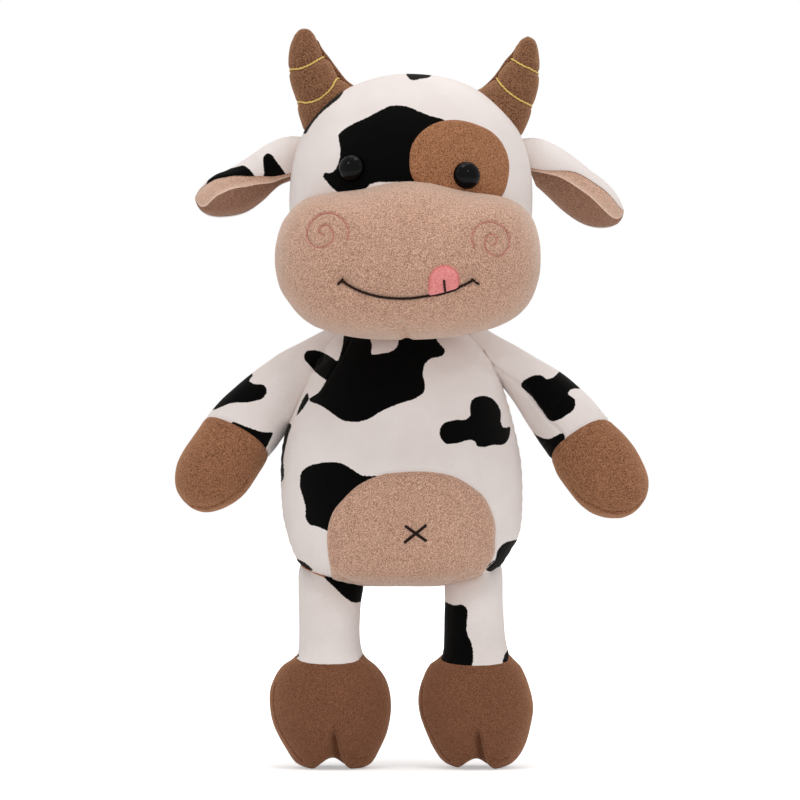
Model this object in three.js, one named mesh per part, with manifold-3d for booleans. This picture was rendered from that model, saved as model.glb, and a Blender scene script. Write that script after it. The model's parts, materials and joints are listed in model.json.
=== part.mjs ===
// A stuffed plush cow that stands on its hooves: cloth covers sewn from panels, each
// with its own filling, and limbs, ears, head and tail that move at their seams.
// Millimetres, +Z up, the face looks along -Y, +X is towards the cow's left hand.

import * as THREE from 'three';
import { mergeVertices } from 'three/addons/utils/BufferGeometryUtils.js';
import Module from 'manifold-3d';

const wasm = await Module();
wasm.setup();

// Cloth and clearances
const clothThickness = 2;
const seatGap = 0.3;
const cutOverrun = 200;

// Torso: a pear that ends in a round shoulder dome, on which the head turns
const torso = { height: 163, width: 146, depth: 114, around: 20, squareness: 2.15 };
const crotchHeight = 109;
const shoulderDomeRadius = 50;
const domeRoomAround = 24;
const torsoShares = [
  [0, 0, 0],
  [0.014, 0.3, 0.28],
  [0.044, 0.58, 0.54],
  [0.095, 0.81, 0.75],
  [0.18, 0.95, 0.91],
  [0.33, 1, 1],
  [0.47, 0.985, 0.985],
  [0.6, 0.9, 0.93],
  [0.7, 0.8, 0.87],
];
const domeAngles = [20, 38, 56, 74];

// Head, in its own frame whose origin is the centre of the shoulder dome
const head = { height: 162, width: 146, depth: 120, around: 20, squareness: 2.2 };
const headBottomAbovePivot = 32;
const headTilt = 2.8;
const headShift = -2;
const headShares = [
  [0, 0, 0, 0],
  [0.018, 0.28, 0.3, 0],
  [0.055, 0.49, 0.52, -0.02],
  [0.125, 0.69, 0.71, -0.05],
  [0.24, 0.86, 0.87, -0.09],
  [0.4, 0.97, 0.97, -0.1],
  [0.58, 1, 1, -0.1],
  [0.72, 0.96, 0.95, -0.1],
  [0.83, 0.85, 0.84, -0.1],
  [0.91, 0.68, 0.68, -0.1],
  [0.965, 0.46, 0.46, -0.1],
  [0.992, 0.23, 0.23, -0.1],
  [1, 0, 0, -0.1],
];

// Muzzle: a wide pillow on the lower face, built from its hidden back to its front
const muzzle = { height: 96, width: 158, depth: 95, around: 20, squareness: 2.5 };
const muzzleBack = 14;
const muzzleRise = 82;
const muzzleShares = [
  [0, 0, 0],
  [0, 0.74, 0.68],
  [0.14, 0.91, 0.86],
  [0.34, 1, 0.985],
  [0.56, 0.995, 1],
  [0.74, 0.92, 0.94],
  [0.87, 0.77, 0.79],
  [0.95, 0.53, 0.56],
  [0.987, 0.28, 0.3],
  [1, 0, 0],
];

// Neck: a wad of filling that joins the two bodies through their open necks
const neckWad = { radius: 17, bottomAbovePivot: 14, topAbovePivot: 62, roundTop: 6, around: 16 };
const nodRange = [-15, 10];
const nodCopies = 5;

// Eyes: moulded domes on a shank, locked behind the cloth by a washer
const eye = { radius: 8, rise: 5.4, shankRadius: 2.1, shankLength: 9, around: 14 };
const eyeWasher = { radius: 7.5, thickness: 1.4 };
const eyeSeats = {
  right: { x: -0.248 * head.width, z: 136.3 },
  left: { x: 0.221 * head.width, z: 135.4 },
};
const eyePatch = { width: 60, height: 56, thickness: 1 };
const eyePatchCentre = { x: -4, z: 4.5 };
const eyePatchShares = [
  [1, 0.05], [0.9, 0.5], [0.62, 0.82], [0.2, 1], [-0.28, 0.97], [-0.72, 0.72],
  [-0.97, 0.25], [-0.92, -0.35], [-0.5, -0.85], [0.1, -1], [0.65, -0.8], [0.95, -0.4],
];

// Horns: soft cones that leave the head sideways and turn up
const horn = { length: 59, width: 39, depth: 36, around: 10, squareness: 2, turn: 36 };
const hornClothThickness = 1.6;
const hornSeat = { x: 0.35 * head.width, y: -6, z: 171.8, splay: 38, embed: 8 };
const hornShares = [
  [0, 0, 0],
  [0, 1, 1],
  [0.22, 0.97, 0.97],
  [0.45, 0.82, 0.82],
  [0.65, 0.64, 0.64],
  [0.82, 0.47, 0.47],
  [0.94, 0.3, 0.3],
  [0.985, 0.16, 0.16],
  [1, 0, 0],
];
const hornBands = { thread: 0.8, shares: [0.45, 0.75], sides: 4, around: 10 };

// Ears: an outer and an inner panel, folded along their length, pinched at the seam
const ear = { length: 48, height: 39, droop: 40, fold: 14, panel: 0.8, along: 6, across: 6 };
const earSeam = { lean: 15, clearance: 0.9, riseAbovePivot: 143 };
const earSectionAngles = [-80, 160];
const earShares = [
  [0, 0.76, 0.03],
  [0.12, 0.87, 0.4],
  [0.3, 1, 0.85],
  [0.5, 0.98, 1],
  [0.7, 0.87, 0.95],
  [0.87, 0.62, 0.75],
  [1, 0.3, 0.35],
];

// Arms and hands: one stuffed tube, whose two cloths meet at the wrist seam
const armRoot = { x: 0.37 * torso.width, rise: 132, radius: 20, droop: 27.5 };
const arm = { around: 12, squareness: 2.05, wristShare: 0.58 };
const armSides = {
  right: { length: 116, turn: 45 },
  left: { length: 124, turn: 39 },
};
const armRange = [-8, 35];
const armShares = [
  [0.25, 1.01, 0.98],
  [0.47, 1, 0.96],
  [0.58, 1.04, 1],
  [0.68, 1.18, 1.1],
  [0.79, 1.32, 1.18],
  [0.89, 1.22, 1.08],
  [0.955, 0.92, 0.84],
  [0.988, 0.54, 0.5],
  [1, 0, 0],
];

// Legs and hooves: one stuffed tube, whose two cloths meet at the ankle seam
const legRoot = { x: 0.298 * torso.width, y: -18, rise: 3, radius: 20 };
const leg = { around: 12, squareness: 2.1, ankleShare: 0.41 };
const soleCut = 0.5;
const legRange = [-70, 15];
const fanSteps = 3;
const legShares = [
  [0.25, 0.99, 0.98],
  [0.39, 1, 1],
  [0.43, 1.17, 1.06],
  [0.48, 1.48, 1.17],
  [0.57, 1.72, 1.3],
  [0.68, 1.77, 1.38],
  [0.8, 1.6, 1.34],
  [0.9, 1.32, 1.24],
  [0.965, 1.04, 1.08],
  [0.9955, 0.84, 0.9],
  [1, 0, 0],
];
const cleft = { width: 9, height: 9.4 };

// Belly patch: an arch of short fleece over the front of the torso
const bellyPatch = { x: 4, springHeight: 137, halfWidth: 50, rise: 41, thickness: 1 };
const bellyPatchArch = { squareness: 2.3, steps: 14, behind: 12 };

// Tongue, of felt, and the threads that draw the face and the navel
const tongue = { width: 17.6, height: 17, thickness: 1.2, x: 25, z: 70, steps: 10 };
const thread = { radius: 0.7, sides: 6, standoff: 0.4 };
const smileShares = [
  [-0.5, 0.62], [-0.42, 0.4], [-0.3, 0.17], [-0.14, 0.02], [0, 0],
  [0.14, 0.08], [0.28, 0.27], [0.4, 0.56], [0.5, 0.95],
];
const smile = { width: 78, height: 11, x: 5, z: 60, tick: 4.6 };
const tongueThread = { length: 6.6, x: 24.4, z: 68 };
const nostril = { x: 50, z: 103, outerRadius: 13, innerRadius: 2.4, turns: 1.5, steps: 20 };
const navel = { x: 6.2, height: 141, width: 12, rise: 9, steps: 4 };

// Tail: a stuffed cord with a tuft, sewn on at the back, short enough to be hidden from the front
const tail = { radius: 4.5, length: 32, around: 10, height: 166 };
const tuft = { length: 22, width: 14, around: 10, squareness: 2 };
const tailShares = [
  [0.3, 0.96, 0.96],
  [0.7, 0.92, 0.92],
  [0.94, 0.9, 0.9],
  [1, 0.6, 0.6],
  [1, 0, 0],
];
const tuftShares = [
  [0, 0, 0],
  [0.01, 0.45, 0.45],
  [0.2, 0.8, 0.8],
  [0.45, 1, 1],
  [0.7, 0.85, 0.85],
  [0.9, 0.45, 0.45],
  [1, 0, 0],
];

// Places that follow from the sizes above
const neckPivotHeight = crotchHeight + torso.height - shoulderDomeRadius;
const armRootHeight = crotchHeight + armRoot.rise;
const legRootHeight = crotchHeight + legRoot.rise;
const sides = [['right', -1], ['left', 1]];
const radians = THREE.MathUtils.degToRad;

const materials = {
  whitePlush: new THREE.MeshStandardMaterial({ color: 0xe8e0df, roughness: 0.95 }),
  tanFleece: new THREE.MeshStandardMaterial({ color: 0xc49b82, roughness: 0.95 }),
  brownFleece: new THREE.MeshStandardMaterial({ color: 0x96694a, roughness: 0.95 }),
  hoofPlush: new THREE.MeshStandardMaterial({ color: 0x7a5038, roughness: 0.95 }),
  handPlush: new THREE.MeshStandardMaterial({ color: 0x94644a, roughness: 0.95 }),
  blackPlastic: new THREE.MeshStandardMaterial({ color: 0x0a0a0a, roughness: 0.12 }),
  clearPlastic: new THREE.MeshStandardMaterial({ color: 0xdcdcdc, roughness: 0.4 }),
  fibre: new THREE.MeshStandardMaterial({ color: 0xf4f2ee, roughness: 1 }),
  pinkFelt: new THREE.MeshStandardMaterial({ color: 0xdc8381, roughness: 0.9 }),
  darkThread: new THREE.MeshStandardMaterial({ color: 0x2a1712, roughness: 0.8 }),
  pinkThread: new THREE.MeshStandardMaterial({ color: 0xb46e66, roughness: 0.8 }),
  goldThread: new THREE.MeshStandardMaterial({ color: 0xc09a3c, roughness: 0.6 }),
};

function toSolid(geometry) {
  const bare = geometry.clone();
  for (const name of Object.keys(bare.attributes)) {
    if (name !== 'position') bare.deleteAttribute(name);
  }
  const merged = mergeVertices(bare, seatGap / 1000);
  const triangles = new Uint32Array(merged.index.array);
  const vertices = new Float32Array(merged.attributes.position.array);
  return new wasm.Manifold(new wasm.Mesh({
    numProp: 3, vertProperties: vertices, triVerts: triangles,
  }));
}

function toGeometry(solid) {
  const mesh = solid.getMesh();
  const geometry = new THREE.BufferGeometry();
  geometry.setAttribute('position', new THREE.BufferAttribute(mesh.vertProperties, 3));
  geometry.setIndex(new THREE.BufferAttribute(mesh.triVerts, 1));
  geometry.computeVertexNormals();
  return geometry;
}

// Where a form's spine is, and how far it has turned, a given way along it
function spineAt(form, along) {
  const turn = radians(form.turn ?? 0);
  if (turn === 0 || along <= 0) return { x: 0, z: along, tilt: 0 };
  const tilt = turn * along / form.length;
  const radius = form.length / turn;
  return { x: radius * (1 - Math.cos(tilt)), z: radius * Math.sin(tilt), tilt };
}

// The rings of a stuffed form, moved out (or in) along its surface by grow
function grownRings(form, grow) {
  return form.rings.map((ring, index, rings) => {
    const before = rings[Math.max(index - 1, 0)];
    const after = rings[Math.min(index + 1, rings.length - 1)];
    const rise = after.along - before.along;
    const swell = (after.wide + after.deep - before.wide - before.deep) / 2;
    const pole = ring.wide === 0;
    const slope = Math.hypot(rise, swell);
    const outward = pole ? 0 : grow * rise / slope;
    const lengthways = pole ? grow * (index === 0 ? -1 : 1) : -grow * swell / slope;
    return {
      along: ring.along + lengthways,
      wide: ring.wide + outward,
      deep: ring.deep + outward,
      shift: ring.shift,
    };
  });
}

// A closed skin over the rings of a form, which ends in one point at each end
function stuffed(form, grow = 0) {
  const rings = grownRings(form, grow);
  const positions = [];
  const index = [];
  const power = 2 / form.squareness;
  for (const ring of rings) {
    const spine = spineAt(form, ring.along);
    const count = ring.wide === 0 ? 1 : form.around;
    for (let i = 0; i < count; i += 1) {
      const angle = 2 * Math.PI * i / form.around;
      const c = Math.cos(angle);
      const s = Math.sin(angle);
      const u = ring.wide * Math.sign(c) * Math.abs(c) ** power;
      const v = ring.deep * Math.sign(s) * Math.abs(s) ** power;
      positions.push(
        spine.x + u * Math.cos(spine.tilt), v + ring.shift, spine.z - u * Math.sin(spine.tilt),
      );
    }
  }
  let start = 0;
  for (let r = 0; r < rings.length - 1; r += 1) {
    const here = rings[r].wide === 0 ? 1 : form.around;
    const next = rings[r + 1].wide === 0 ? 1 : form.around;
    for (let i = 0; i < form.around; i += 1) {
      const j = (i + 1) % form.around;
      const a = start + i % here;
      const b = start + j % here;
      const c = start + here + i % next;
      const d = start + here + j % next;
      if (here > 1) index.push(a, b, c);
      if (next > 1) index.push(b, d, c);
    }
    start += here;
  }
  const geometry = new THREE.BufferGeometry();
  geometry.setAttribute('position', new THREE.Float32BufferAttribute(positions, 3));
  geometry.setIndex(index);
  return geometry;
}

function ringsFromShares(shares, length, halfWidth, halfDepth) {
  return shares.map(([along, wide, deep, shift = 0]) => ({
    along: along * length,
    wide: wide * halfWidth,
    deep: deep * halfDepth,
    shift: shift * halfDepth,
  }));
}

// A form's ring at a place between two of its stated ones
function ringAt(rings, along) {
  const after = rings.findIndex((ring) => ring.wide > 0 && ring.along >= along);
  const low = rings[after - 1];
  const high = rings[after];
  const mix = (along - low.along) / (high.along - low.along);
  return {
    wide: low.wide + mix * (high.wide - low.wide),
    deep: low.deep + mix * (high.deep - low.deep),
    shift: low.shift + mix * (high.shift - low.shift),
  };
}

function ballRing(radius, angle) {
  const wide = radius * Math.cos(radians(angle));
  return { along: radius * Math.sin(radians(angle)), wide, deep: wide, shift: 0 };
}

// A limb starts with a half ball round its joint, so that it can turn there
function limbForm(limb, root, length, turn, shares) {
  const ball = [-90, -62, -32, 0].map((angle) => ballRing(root.radius, angle));
  ball[0].wide = 0;
  const rest = ringsFromShares(shares, length, root.radius, root.radius);
  return { ...limb, length, turn, rings: [...ball, ...rest] };
}

// A ball whose flat facets all lie outside the given radius
function ballOutside(radius, around = 14) {
  const facet = Math.PI / around;
  return new THREE.SphereGeometry(radius / Math.cos(facet) ** 2, around, around / 2);
}

// Everything on the far side of a plane across a form's spine
function beyond(form, along, direction) {
  const spine = spineAt(form, along);
  const box = new THREE.BoxGeometry(cutOverrun, cutOverrun, cutOverrun);
  box.translate(0, 0, direction * cutOverrun / 2);
  box.rotateY(spine.tilt);
  box.translate(spine.x, 0, spine.z);
  return toSolid(box);
}

// The copies of a form that turns about an axis through a point, from end to end
function turnedCopies(geometry, pivot, axis, range, copies) {
  let room = null;
  for (let i = 0; i < copies; i += 1) {
    const angle = radians(range[0] + (range[1] - range[0]) * i / (copies - 1));
    const copy = geometry.clone();
    copy.translate(-pivot.x, -pivot.y, -pivot.z);
    copy.applyMatrix4(new THREE.Matrix4().makeRotationAxis(axis, angle));
    copy.translate(pivot.x, pivot.y, pivot.z);
    const solid = toSolid(copy);
    room = room ? room.add(solid) : solid;
  }
  return room;
}

const raycaster = new THREE.Raycaster();
const skinForSeats = new THREE.MeshBasicMaterial({ side: THREE.DoubleSide });

// The place on a skin that is seen straight from the front at x, z
function seatFromFront(geometry, x, z) {
  raycaster.set(new THREE.Vector3(x, -cutOverrun, z), new THREE.Vector3(0, 1, 0));
  const hit = raycaster.intersectObject(new THREE.Mesh(geometry, skinForSeats))[0];
  return { point: hit.point, normal: hit.face.normal.clone() };
}

function roundSection(radius, sidesCount) {
  const corners = [];
  for (let i = 0; i < sidesCount; i += 1) {
    const angle = 2 * Math.PI * i / sidesCount;
    corners.push(new THREE.Vector2(radius * Math.cos(angle), radius * Math.sin(angle)));
  }
  return new THREE.Shape(corners);
}

// A thread laid along places on a skin, just clear of it
function threadOn(geometry, places, radius = thread.radius) {
  const lift = radius + thread.standoff;
  const points = places.map(([x, z]) => {
    const seat = seatFromFront(geometry, x, z);
    return seat.point.addScaledVector(seat.normal, lift);
  });
  const path = new THREE.CatmullRomCurve3(points);
  return new THREE.ExtrudeGeometry(roundSection(radius, thread.sides), {
    steps: points.length - 1, extrudePath: path, bevelEnabled: false,
  });
}

// A layer of cloth over a form, inside an outline seen from the front
function patchOn(form, outline, thickness, from, to) {
  const slab = new THREE.ExtrudeGeometry(outline, { depth: to - from, bevelEnabled: false });
  slab.rotateX(Math.PI / 2);
  slab.translate(0, to, 0);
  const layer = toSolid(stuffed(form, seatGap + thickness))
    .subtract(toSolid(stuffed(form, seatGap)));
  return layer.intersect(toSolid(slab));
}

function addPiece(parent, name, geometry, material) {
  const mesh = new THREE.Mesh(geometry, material);
  mesh.name = name;
  mesh.geometry.computeVertexNormals();
  parent.add(mesh);
  return mesh;
}

function makeTorsoForm() {
  const low = ringsFromShares(torsoShares, torso.height, torso.width / 2, torso.depth / 2);
  const domeBase = torso.height - shoulderDomeRadius;
  const dome = domeAngles.map((angle) => ballRing(shoulderDomeRadius, angle));
  dome.push({ along: shoulderDomeRadius, wide: 0, deep: 0, shift: 0 });
  for (const ring of dome) ring.along += domeBase;
  return { ...torso, length: torso.height, rings: [...low, ...dome] };
}

function makeHeadForm() {
  const rings = ringsFromShares(headShares, head.height, head.width / 2, head.depth / 2);
  for (const ring of rings) ring.along += headBottomAbovePivot;
  return { ...head, length: head.height, rings };
}

function makeMuzzleForm() {
  const rings = ringsFromShares(muzzleShares, muzzle.depth, muzzle.width / 2, muzzle.height / 2);
  return { ...muzzle, length: muzzle.depth, rings };
}

// The muzzle's rings run forward, so its form is turned to face the front
function muzzleSkin(form, grow) {
  const skin = stuffed(form, grow);
  skin.rotateX(Math.PI / 2);
  skin.translate(0, -muzzleBack, muzzleRise);
  return skin;
}

const torsoForm = makeTorsoForm();
const headForm = makeHeadForm();
const muzzleForm = makeMuzzleForm();
const hornForm = {
  ...horn, rings: ringsFromShares(hornShares, horn.length, horn.width / 2, horn.depth / 2),
};

const cow = new THREE.Group();
const torsoGroup = new THREE.Group();
torsoGroup.position.z = crotchHeight;
const headPivot = new THREE.Group();
headPivot.position.z = neckPivotHeight;
headPivot.rotation.y = radians(headTilt);
const headGroup = new THREE.Group();
headGroup.position.x = headShift;
headPivot.add(headGroup);
cow.add(torsoGroup, headPivot);

// Arms: the group's own +Z runs down the arm from the shoulder
const armPlaces = {};
for (const [side, sign] of sides) {
  const { length, turn } = armSides[side];
  const group = new THREE.Group();
  group.position.set(sign * armRoot.x, 0, armRootHeight);
  group.rotation.y = sign * radians(90 + armRoot.droop);
  group.updateMatrix();
  cow.add(group);
  const form = limbForm(arm, armRoot, length, sign * turn, armShares);
  armPlaces[side] = { group, form };
  const shell = toSolid(stuffed(form)).subtract(toSolid(stuffed(form, -clothThickness)));
  const wrist = arm.wristShare * length;
  const upper = shell.subtract(beyond(form, wrist - seatGap / 2, 1));
  const lower = shell.subtract(beyond(form, wrist + seatGap / 2, -1));
  addPiece(group, `arm_${side}_cover`, toGeometry(upper), materials.whitePlush);
  addPiece(group, `hand_${side}_cover`, toGeometry(lower), materials.handPlush);
  const filling = stuffed(form, -clothThickness - seatGap);
  addPiece(group, `arm_${side}_filling`, filling, materials.fibre);
}

// Legs: the group's own +Z runs down the leg from the hip
const legPlaces = {};
const legLength = legRootHeight + soleCut;
for (const [side, sign] of sides) {
  const group = new THREE.Group();
  group.position.set(sign * legRoot.x, legRoot.y, legRootHeight);
  group.rotation.y = Math.PI;
  group.updateMatrix();
  cow.add(group);
  const form = limbForm(leg, legRoot, legLength, 0, legShares);
  legPlaces[side] = { group, form };
  const notch = new THREE.ConeGeometry(cleft.width / 2, 2 * cleft.height, 4, 1);
  notch.rotateY(Math.PI / 4);
  notch.rotateX(-Math.PI / 2);
  notch.scale(1, cutOverrun / cleft.width, 1);
  notch.translate(0, 0, legRootHeight);
  const sole = beyond(form, legRootHeight, 1);
  const outer = toSolid(stuffed(form)).subtract(sole).subtract(toSolid(notch));
  const shell = outer.subtract(toSolid(stuffed(form, -clothThickness))
    .subtract(beyond(form, legRootHeight - clothThickness, 1))
    .subtract(toSolid(notch.clone().translate(0, 0, -clothThickness))));
  const ankle = leg.ankleShare * legLength;
  const upper = shell.subtract(beyond(form, ankle - seatGap / 2, 1));
  const lower = shell.subtract(beyond(form, ankle + seatGap / 2, -1));
  addPiece(group, `leg_${side}_cover`, toGeometry(upper), materials.whitePlush);
  addPiece(group, `hoof_${side}_cover`, toGeometry(lower), materials.hoofPlush);
  const inset = clothThickness + seatGap;
  const filling = toSolid(stuffed(form, -inset))
    .subtract(beyond(form, legRootHeight - inset, 1))
    .subtract(toSolid(notch.clone().translate(0, 0, -inset)));
  addPiece(group, `leg_${side}_filling`, toGeometry(filling), materials.fibre);
}

// The flat fan that a limb's spine sweeps, as thick as the limb
function limbFan(radius, length, along, axis, range) {
  const step = (range[1] - range[0]) / fanSteps;
  const reach = length / Math.cos(radians(step) / 2);
  const corners = [new THREE.Vector2()];
  for (let i = 0; i <= fanSteps; i += 1) {
    const angle = radians(range[0] + i * step);
    corners.push(new THREE.Vector2(reach * Math.cos(angle), reach * Math.sin(angle)));
  }
  const fan = new THREE.ExtrudeGeometry(new THREE.Shape(corners), {
    depth: 2 * radius, bevelEnabled: false,
  });
  fan.translate(0, 0, -radius);
  const across = new THREE.Vector3().crossVectors(axis, along);
  return fan.applyMatrix4(new THREE.Matrix4().makeBasis(along, across, axis));
}

// The room that a limb needs at its root, in the torso's own frame
function limbRoom({ group, form }, range, axis) {
  const skin = stuffed(form, seatGap);
  skin.applyMatrix4(group.matrix);
  skin.translate(0, 0, -crotchHeight);
  const pivot = group.position.clone();
  pivot.z -= crotchHeight;
  const radius = form.rings[3].wide + 2 * seatGap;
  const socket = ballOutside(radius).translate(pivot.x, pivot.y, pivot.z);
  const along = new THREE.Vector3(0, 0, 1).applyQuaternion(group.quaternion);
  const fan = limbFan(radius, form.length, along, axis, range);
  fan.translate(pivot.x, pivot.y, pivot.z);
  return turnedCopies(skin, pivot, axis, range, 2).add(toSolid(socket)).add(toSolid(fan));
}

const limbRooms = [];
for (const [side, sign] of sides) {
  const raise = new THREE.Vector3(0, -sign, 0);
  const swing = new THREE.Vector3(1, 0, 0);
  limbRooms.push(limbRoom(armPlaces[side], armRange, raise));
  limbRooms.push(limbRoom(legPlaces[side], legRange, swing));
}

function withoutLimbRoom(solid) {
  let rest = solid;
  for (const room of limbRooms) rest = rest.subtract(room);
  return rest;
}

// Neck: a turned wad, and the slot that the nodding head needs round it
function wadGeometry(grow) {
  const { radius, bottomAbovePivot, topAbovePivot, roundTop, around } = neckWad;
  const top = topAbovePivot + grow;
  return new THREE.LatheGeometry([
    new THREE.Vector2(0, bottomAbovePivot - grow),
    new THREE.Vector2(radius + grow, bottomAbovePivot - grow),
    new THREE.Vector2(radius + grow, top - roundTop),
    new THREE.Vector2(radius + grow - roundTop / 3, top - roundTop / 3),
    new THREE.Vector2(radius + grow - roundTop, top),
    new THREE.Vector2(0, top),
  ], around).rotateX(Math.PI / 2);
}

const neckGroup = new THREE.Group();
neckGroup.position.z = neckPivotHeight;
cow.add(neckGroup);
addPiece(neckGroup, 'neck_filling', toGeometry(toSolid(wadGeometry(0))), materials.fibre);

const wadRoom = toSolid(wadGeometry(2 * seatGap)
  .translate(0, 0, neckPivotHeight - crotchHeight));
const bodyShell = toSolid(stuffed(torsoForm))
  .subtract(toSolid(stuffed(torsoForm, -clothThickness)));
const bodyCover = withoutLimbRoom(bodyShell).subtract(wadRoom);
addPiece(torsoGroup, 'body_cover', toGeometry(bodyCover), materials.whitePlush);
const bodyFilling = withoutLimbRoom(toSolid(stuffed(torsoForm, -clothThickness - seatGap)));
addPiece(torsoGroup, 'body_filling', toGeometry(bodyFilling.subtract(wadRoom)), materials.fibre);

// Belly patch, and the navel's crossed stitches on it
function bellyOutline() {
  const { x, springHeight, halfWidth, rise } = bellyPatch;
  const { squareness, steps } = bellyPatchArch;
  const spring = springHeight - crotchHeight;
  const outline = new THREE.Shape();
  outline.moveTo(x - halfWidth, spring - cutOverrun);
  outline.lineTo(x + halfWidth, spring - cutOverrun);
  for (let i = 0; i <= steps; i += 1) {
    const angle = Math.PI * i / steps;
    const c = Math.cos(angle);
    const s = Math.sin(angle);
    const power = 2 / squareness;
    outline.lineTo(
      x + halfWidth * Math.sign(c) * Math.abs(c) ** power, spring + rise * Math.abs(s) ** power,
    );
  }
  return outline;
}

const bellySolid = withoutLimbRoom(patchOn(
  torsoForm, bellyOutline(), bellyPatch.thickness, -cutOverrun, -bellyPatchArch.behind,
));
addPiece(torsoGroup, 'belly_patch', toGeometry(bellySolid), materials.tanFleece);

const bellySkin = stuffed(torsoForm, seatGap + bellyPatch.thickness);
function navelStroke(sign) {
  const places = [];
  for (let i = 0; i <= navel.steps; i += 1) {
    const share = i / navel.steps - 0.5;
    places.push([
      navel.x + share * navel.width, navel.height - crotchHeight + sign * share * navel.rise,
    ]);
  }
  return toSolid(threadOn(bellySkin, places));
}
const navelSolid = navelStroke(1).add(navelStroke(-1));
addPiece(torsoGroup, 'navel_stitch', toGeometry(navelSolid), materials.darkThread);

// Head and muzzle
const headSkin = stuffed(headForm);
function fromPivotToHead(geometry) {
  return geometry.rotateY(-radians(headTilt)).translate(-headShift, 0, 0);
}
const domeRoom = toSolid(fromPivotToHead(ballOutside(shoulderDomeRadius + seatGap, domeRoomAround)));
const nodSweep = turnedCopies(
  wadGeometry(2 * seatGap), new THREE.Vector3(), new THREE.Vector3(1, 0, 0),
  [-nodRange[1], -nodRange[0]], nodCopies,
);
const nodRoom = toSolid(fromPivotToHead(toGeometry(nodSweep)));

function seatMatrix(seat) {
  const turn = new THREE.Quaternion().setFromUnitVectors(
    new THREE.Vector3(0, 0, 1), seat.normal,
  );
  return new THREE.Matrix4().compose(seat.point, turn, new THREE.Vector3(1, 1, 1));
}

function cylinderAlong(radius, low, high, around = eye.around) {
  const cylinder = new THREE.CylinderGeometry(radius, radius, high - low, around);
  cylinder.rotateX(Math.PI / 2);
  cylinder.translate(0, 0, (low + high) / 2);
  return cylinder;
}

function eyeGeometry() {
  const { radius, rise, shankRadius, shankLength, around } = eye;
  const outline = [[0, -shankLength], [shankRadius, -shankLength], [shankRadius, 0], [radius, 0]];
  for (const angle of [18, 36, 54, 72]) {
    outline.push([radius * Math.cos(radians(angle)), rise * Math.sin(radians(angle))]);
  }
  outline.push([0, rise]);
  const points = outline.map(([r, z]) => new THREE.Vector2(r, z));
  return new THREE.LatheGeometry(points, around).rotateX(Math.PI / 2);
}

// How low a skin lies under its seat, anywhere within a radius
function dipUnder(skin, seat, radius) {
  const placed = seatMatrix(seat);
  const mesh = new THREE.Mesh(skin, skinForSeats);
  const heights = [];
  for (let i = 0; i < eye.around; i += 1) {
    const angle = 2 * Math.PI * i / eye.around;
    const above = new THREE.Vector3(radius * Math.cos(angle), radius * Math.sin(angle), radius);
    raycaster.set(above.applyMatrix4(placed), seat.normal.clone().negate());
    const hit = raycaster.intersectObject(mesh)[0];
    heights.push(seat.normal.dot(hit.point.clone().sub(seat.point)));
  }
  return Math.min(...heights);
}

let headShell = toSolid(headSkin).subtract(toSolid(stuffed(headForm, -clothThickness)));
let headCore = toSolid(stuffed(headForm, -clothThickness - seatGap));
const headLining = stuffed(headForm, -clothThickness);
const eyeHoles = [];
for (const [side] of sides) {
  const seat = seatFromFront(headSkin, eyeSeats[side].x, eyeSeats[side].z);
  const patched = side === 'left' ? eyePatch.thickness + seatGap : 0;
  const rise = patched + seatGap;
  const placed = seatMatrix(seat);
  const dome = eyeGeometry().translate(0, 0, rise);
  addPiece(headGroup, `eye_${side}`, dome.applyMatrix4(placed), materials.blackPlastic);
  const washerTop = dipUnder(headLining, seat, eyeWasher.radius) - seatGap;
  const washerBottom = washerTop - eyeWasher.thickness;
  const holeRadius = eye.shankRadius + seatGap;
  const washer = toSolid(cylinderAlong(eyeWasher.radius, washerBottom, washerTop))
    .subtract(toSolid(cylinderAlong(holeRadius, washerBottom - seatGap, washerTop + seatGap)));
  const washerGeometry = toGeometry(washer).applyMatrix4(placed);
  addPiece(headGroup, `eye_${side}_washer`, washerGeometry, materials.clearPlastic);
  const hole = toSolid(cylinderAlong(holeRadius, -eye.shankLength, eye.rise)
    .applyMatrix4(placed));
  eyeHoles.push(hole);
  headShell = headShell.subtract(hole);
  const pocket = cylinderAlong(eyeWasher.radius + seatGap, -eye.shankLength, 0);
  headCore = headCore.subtract(toSolid(pocket.applyMatrix4(placed)));
}
headShell = headShell.subtract(domeRoom).subtract(nodRoom);
headCore = headCore.subtract(domeRoom).subtract(nodRoom);
addPiece(headGroup, 'head_cover', toGeometry(headShell), materials.whitePlush);
addPiece(headGroup, 'head_filling', toGeometry(headCore), materials.fibre);

const headRoom = toSolid(stuffed(headForm, seatGap));
const muzzleRoom = toSolid(muzzleSkin(muzzleForm, seatGap));
const muzzleShell = toSolid(muzzleSkin(muzzleForm, 0))
  .subtract(toSolid(muzzleSkin(muzzleForm, -clothThickness)))
  .subtract(headRoom).subtract(domeRoom);
addPiece(headGroup, 'muzzle_cover', toGeometry(muzzleShell), materials.tanFleece);
const muzzleCore = toSolid(muzzleSkin(muzzleForm, -clothThickness - seatGap))
  .subtract(headRoom).subtract(domeRoom);
addPiece(headGroup, 'muzzle_filling', toGeometry(muzzleCore), materials.fibre);

// Eye patch, round the cow's left eye and under the muzzle's edge
function eyePatchOutline() {
  const points = eyePatchShares.map(([wide, tall]) => new THREE.Vector3(
    eyeSeats.left.x + eyePatchCentre.x + wide * eyePatch.width / 2,
    eyeSeats.left.z + eyePatchCentre.z + tall * eyePatch.height / 2,
    0,
  ));
  const curve = new THREE.CatmullRomCurve3(points, true);
  const round = curve.getPoints(2 * points.length).slice(1);
  return new THREE.Shape(round.map((point) => new THREE.Vector2(point.x, point.y)));
}
const eyePatchSolid = patchOn(headForm, eyePatchOutline(), eyePatch.thickness, -cutOverrun, 0)
  .subtract(muzzleRoom).subtract(eyeHoles[1]);
addPiece(headGroup, 'eye_patch', toGeometry(eyePatchSolid), materials.brownFleece);

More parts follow.
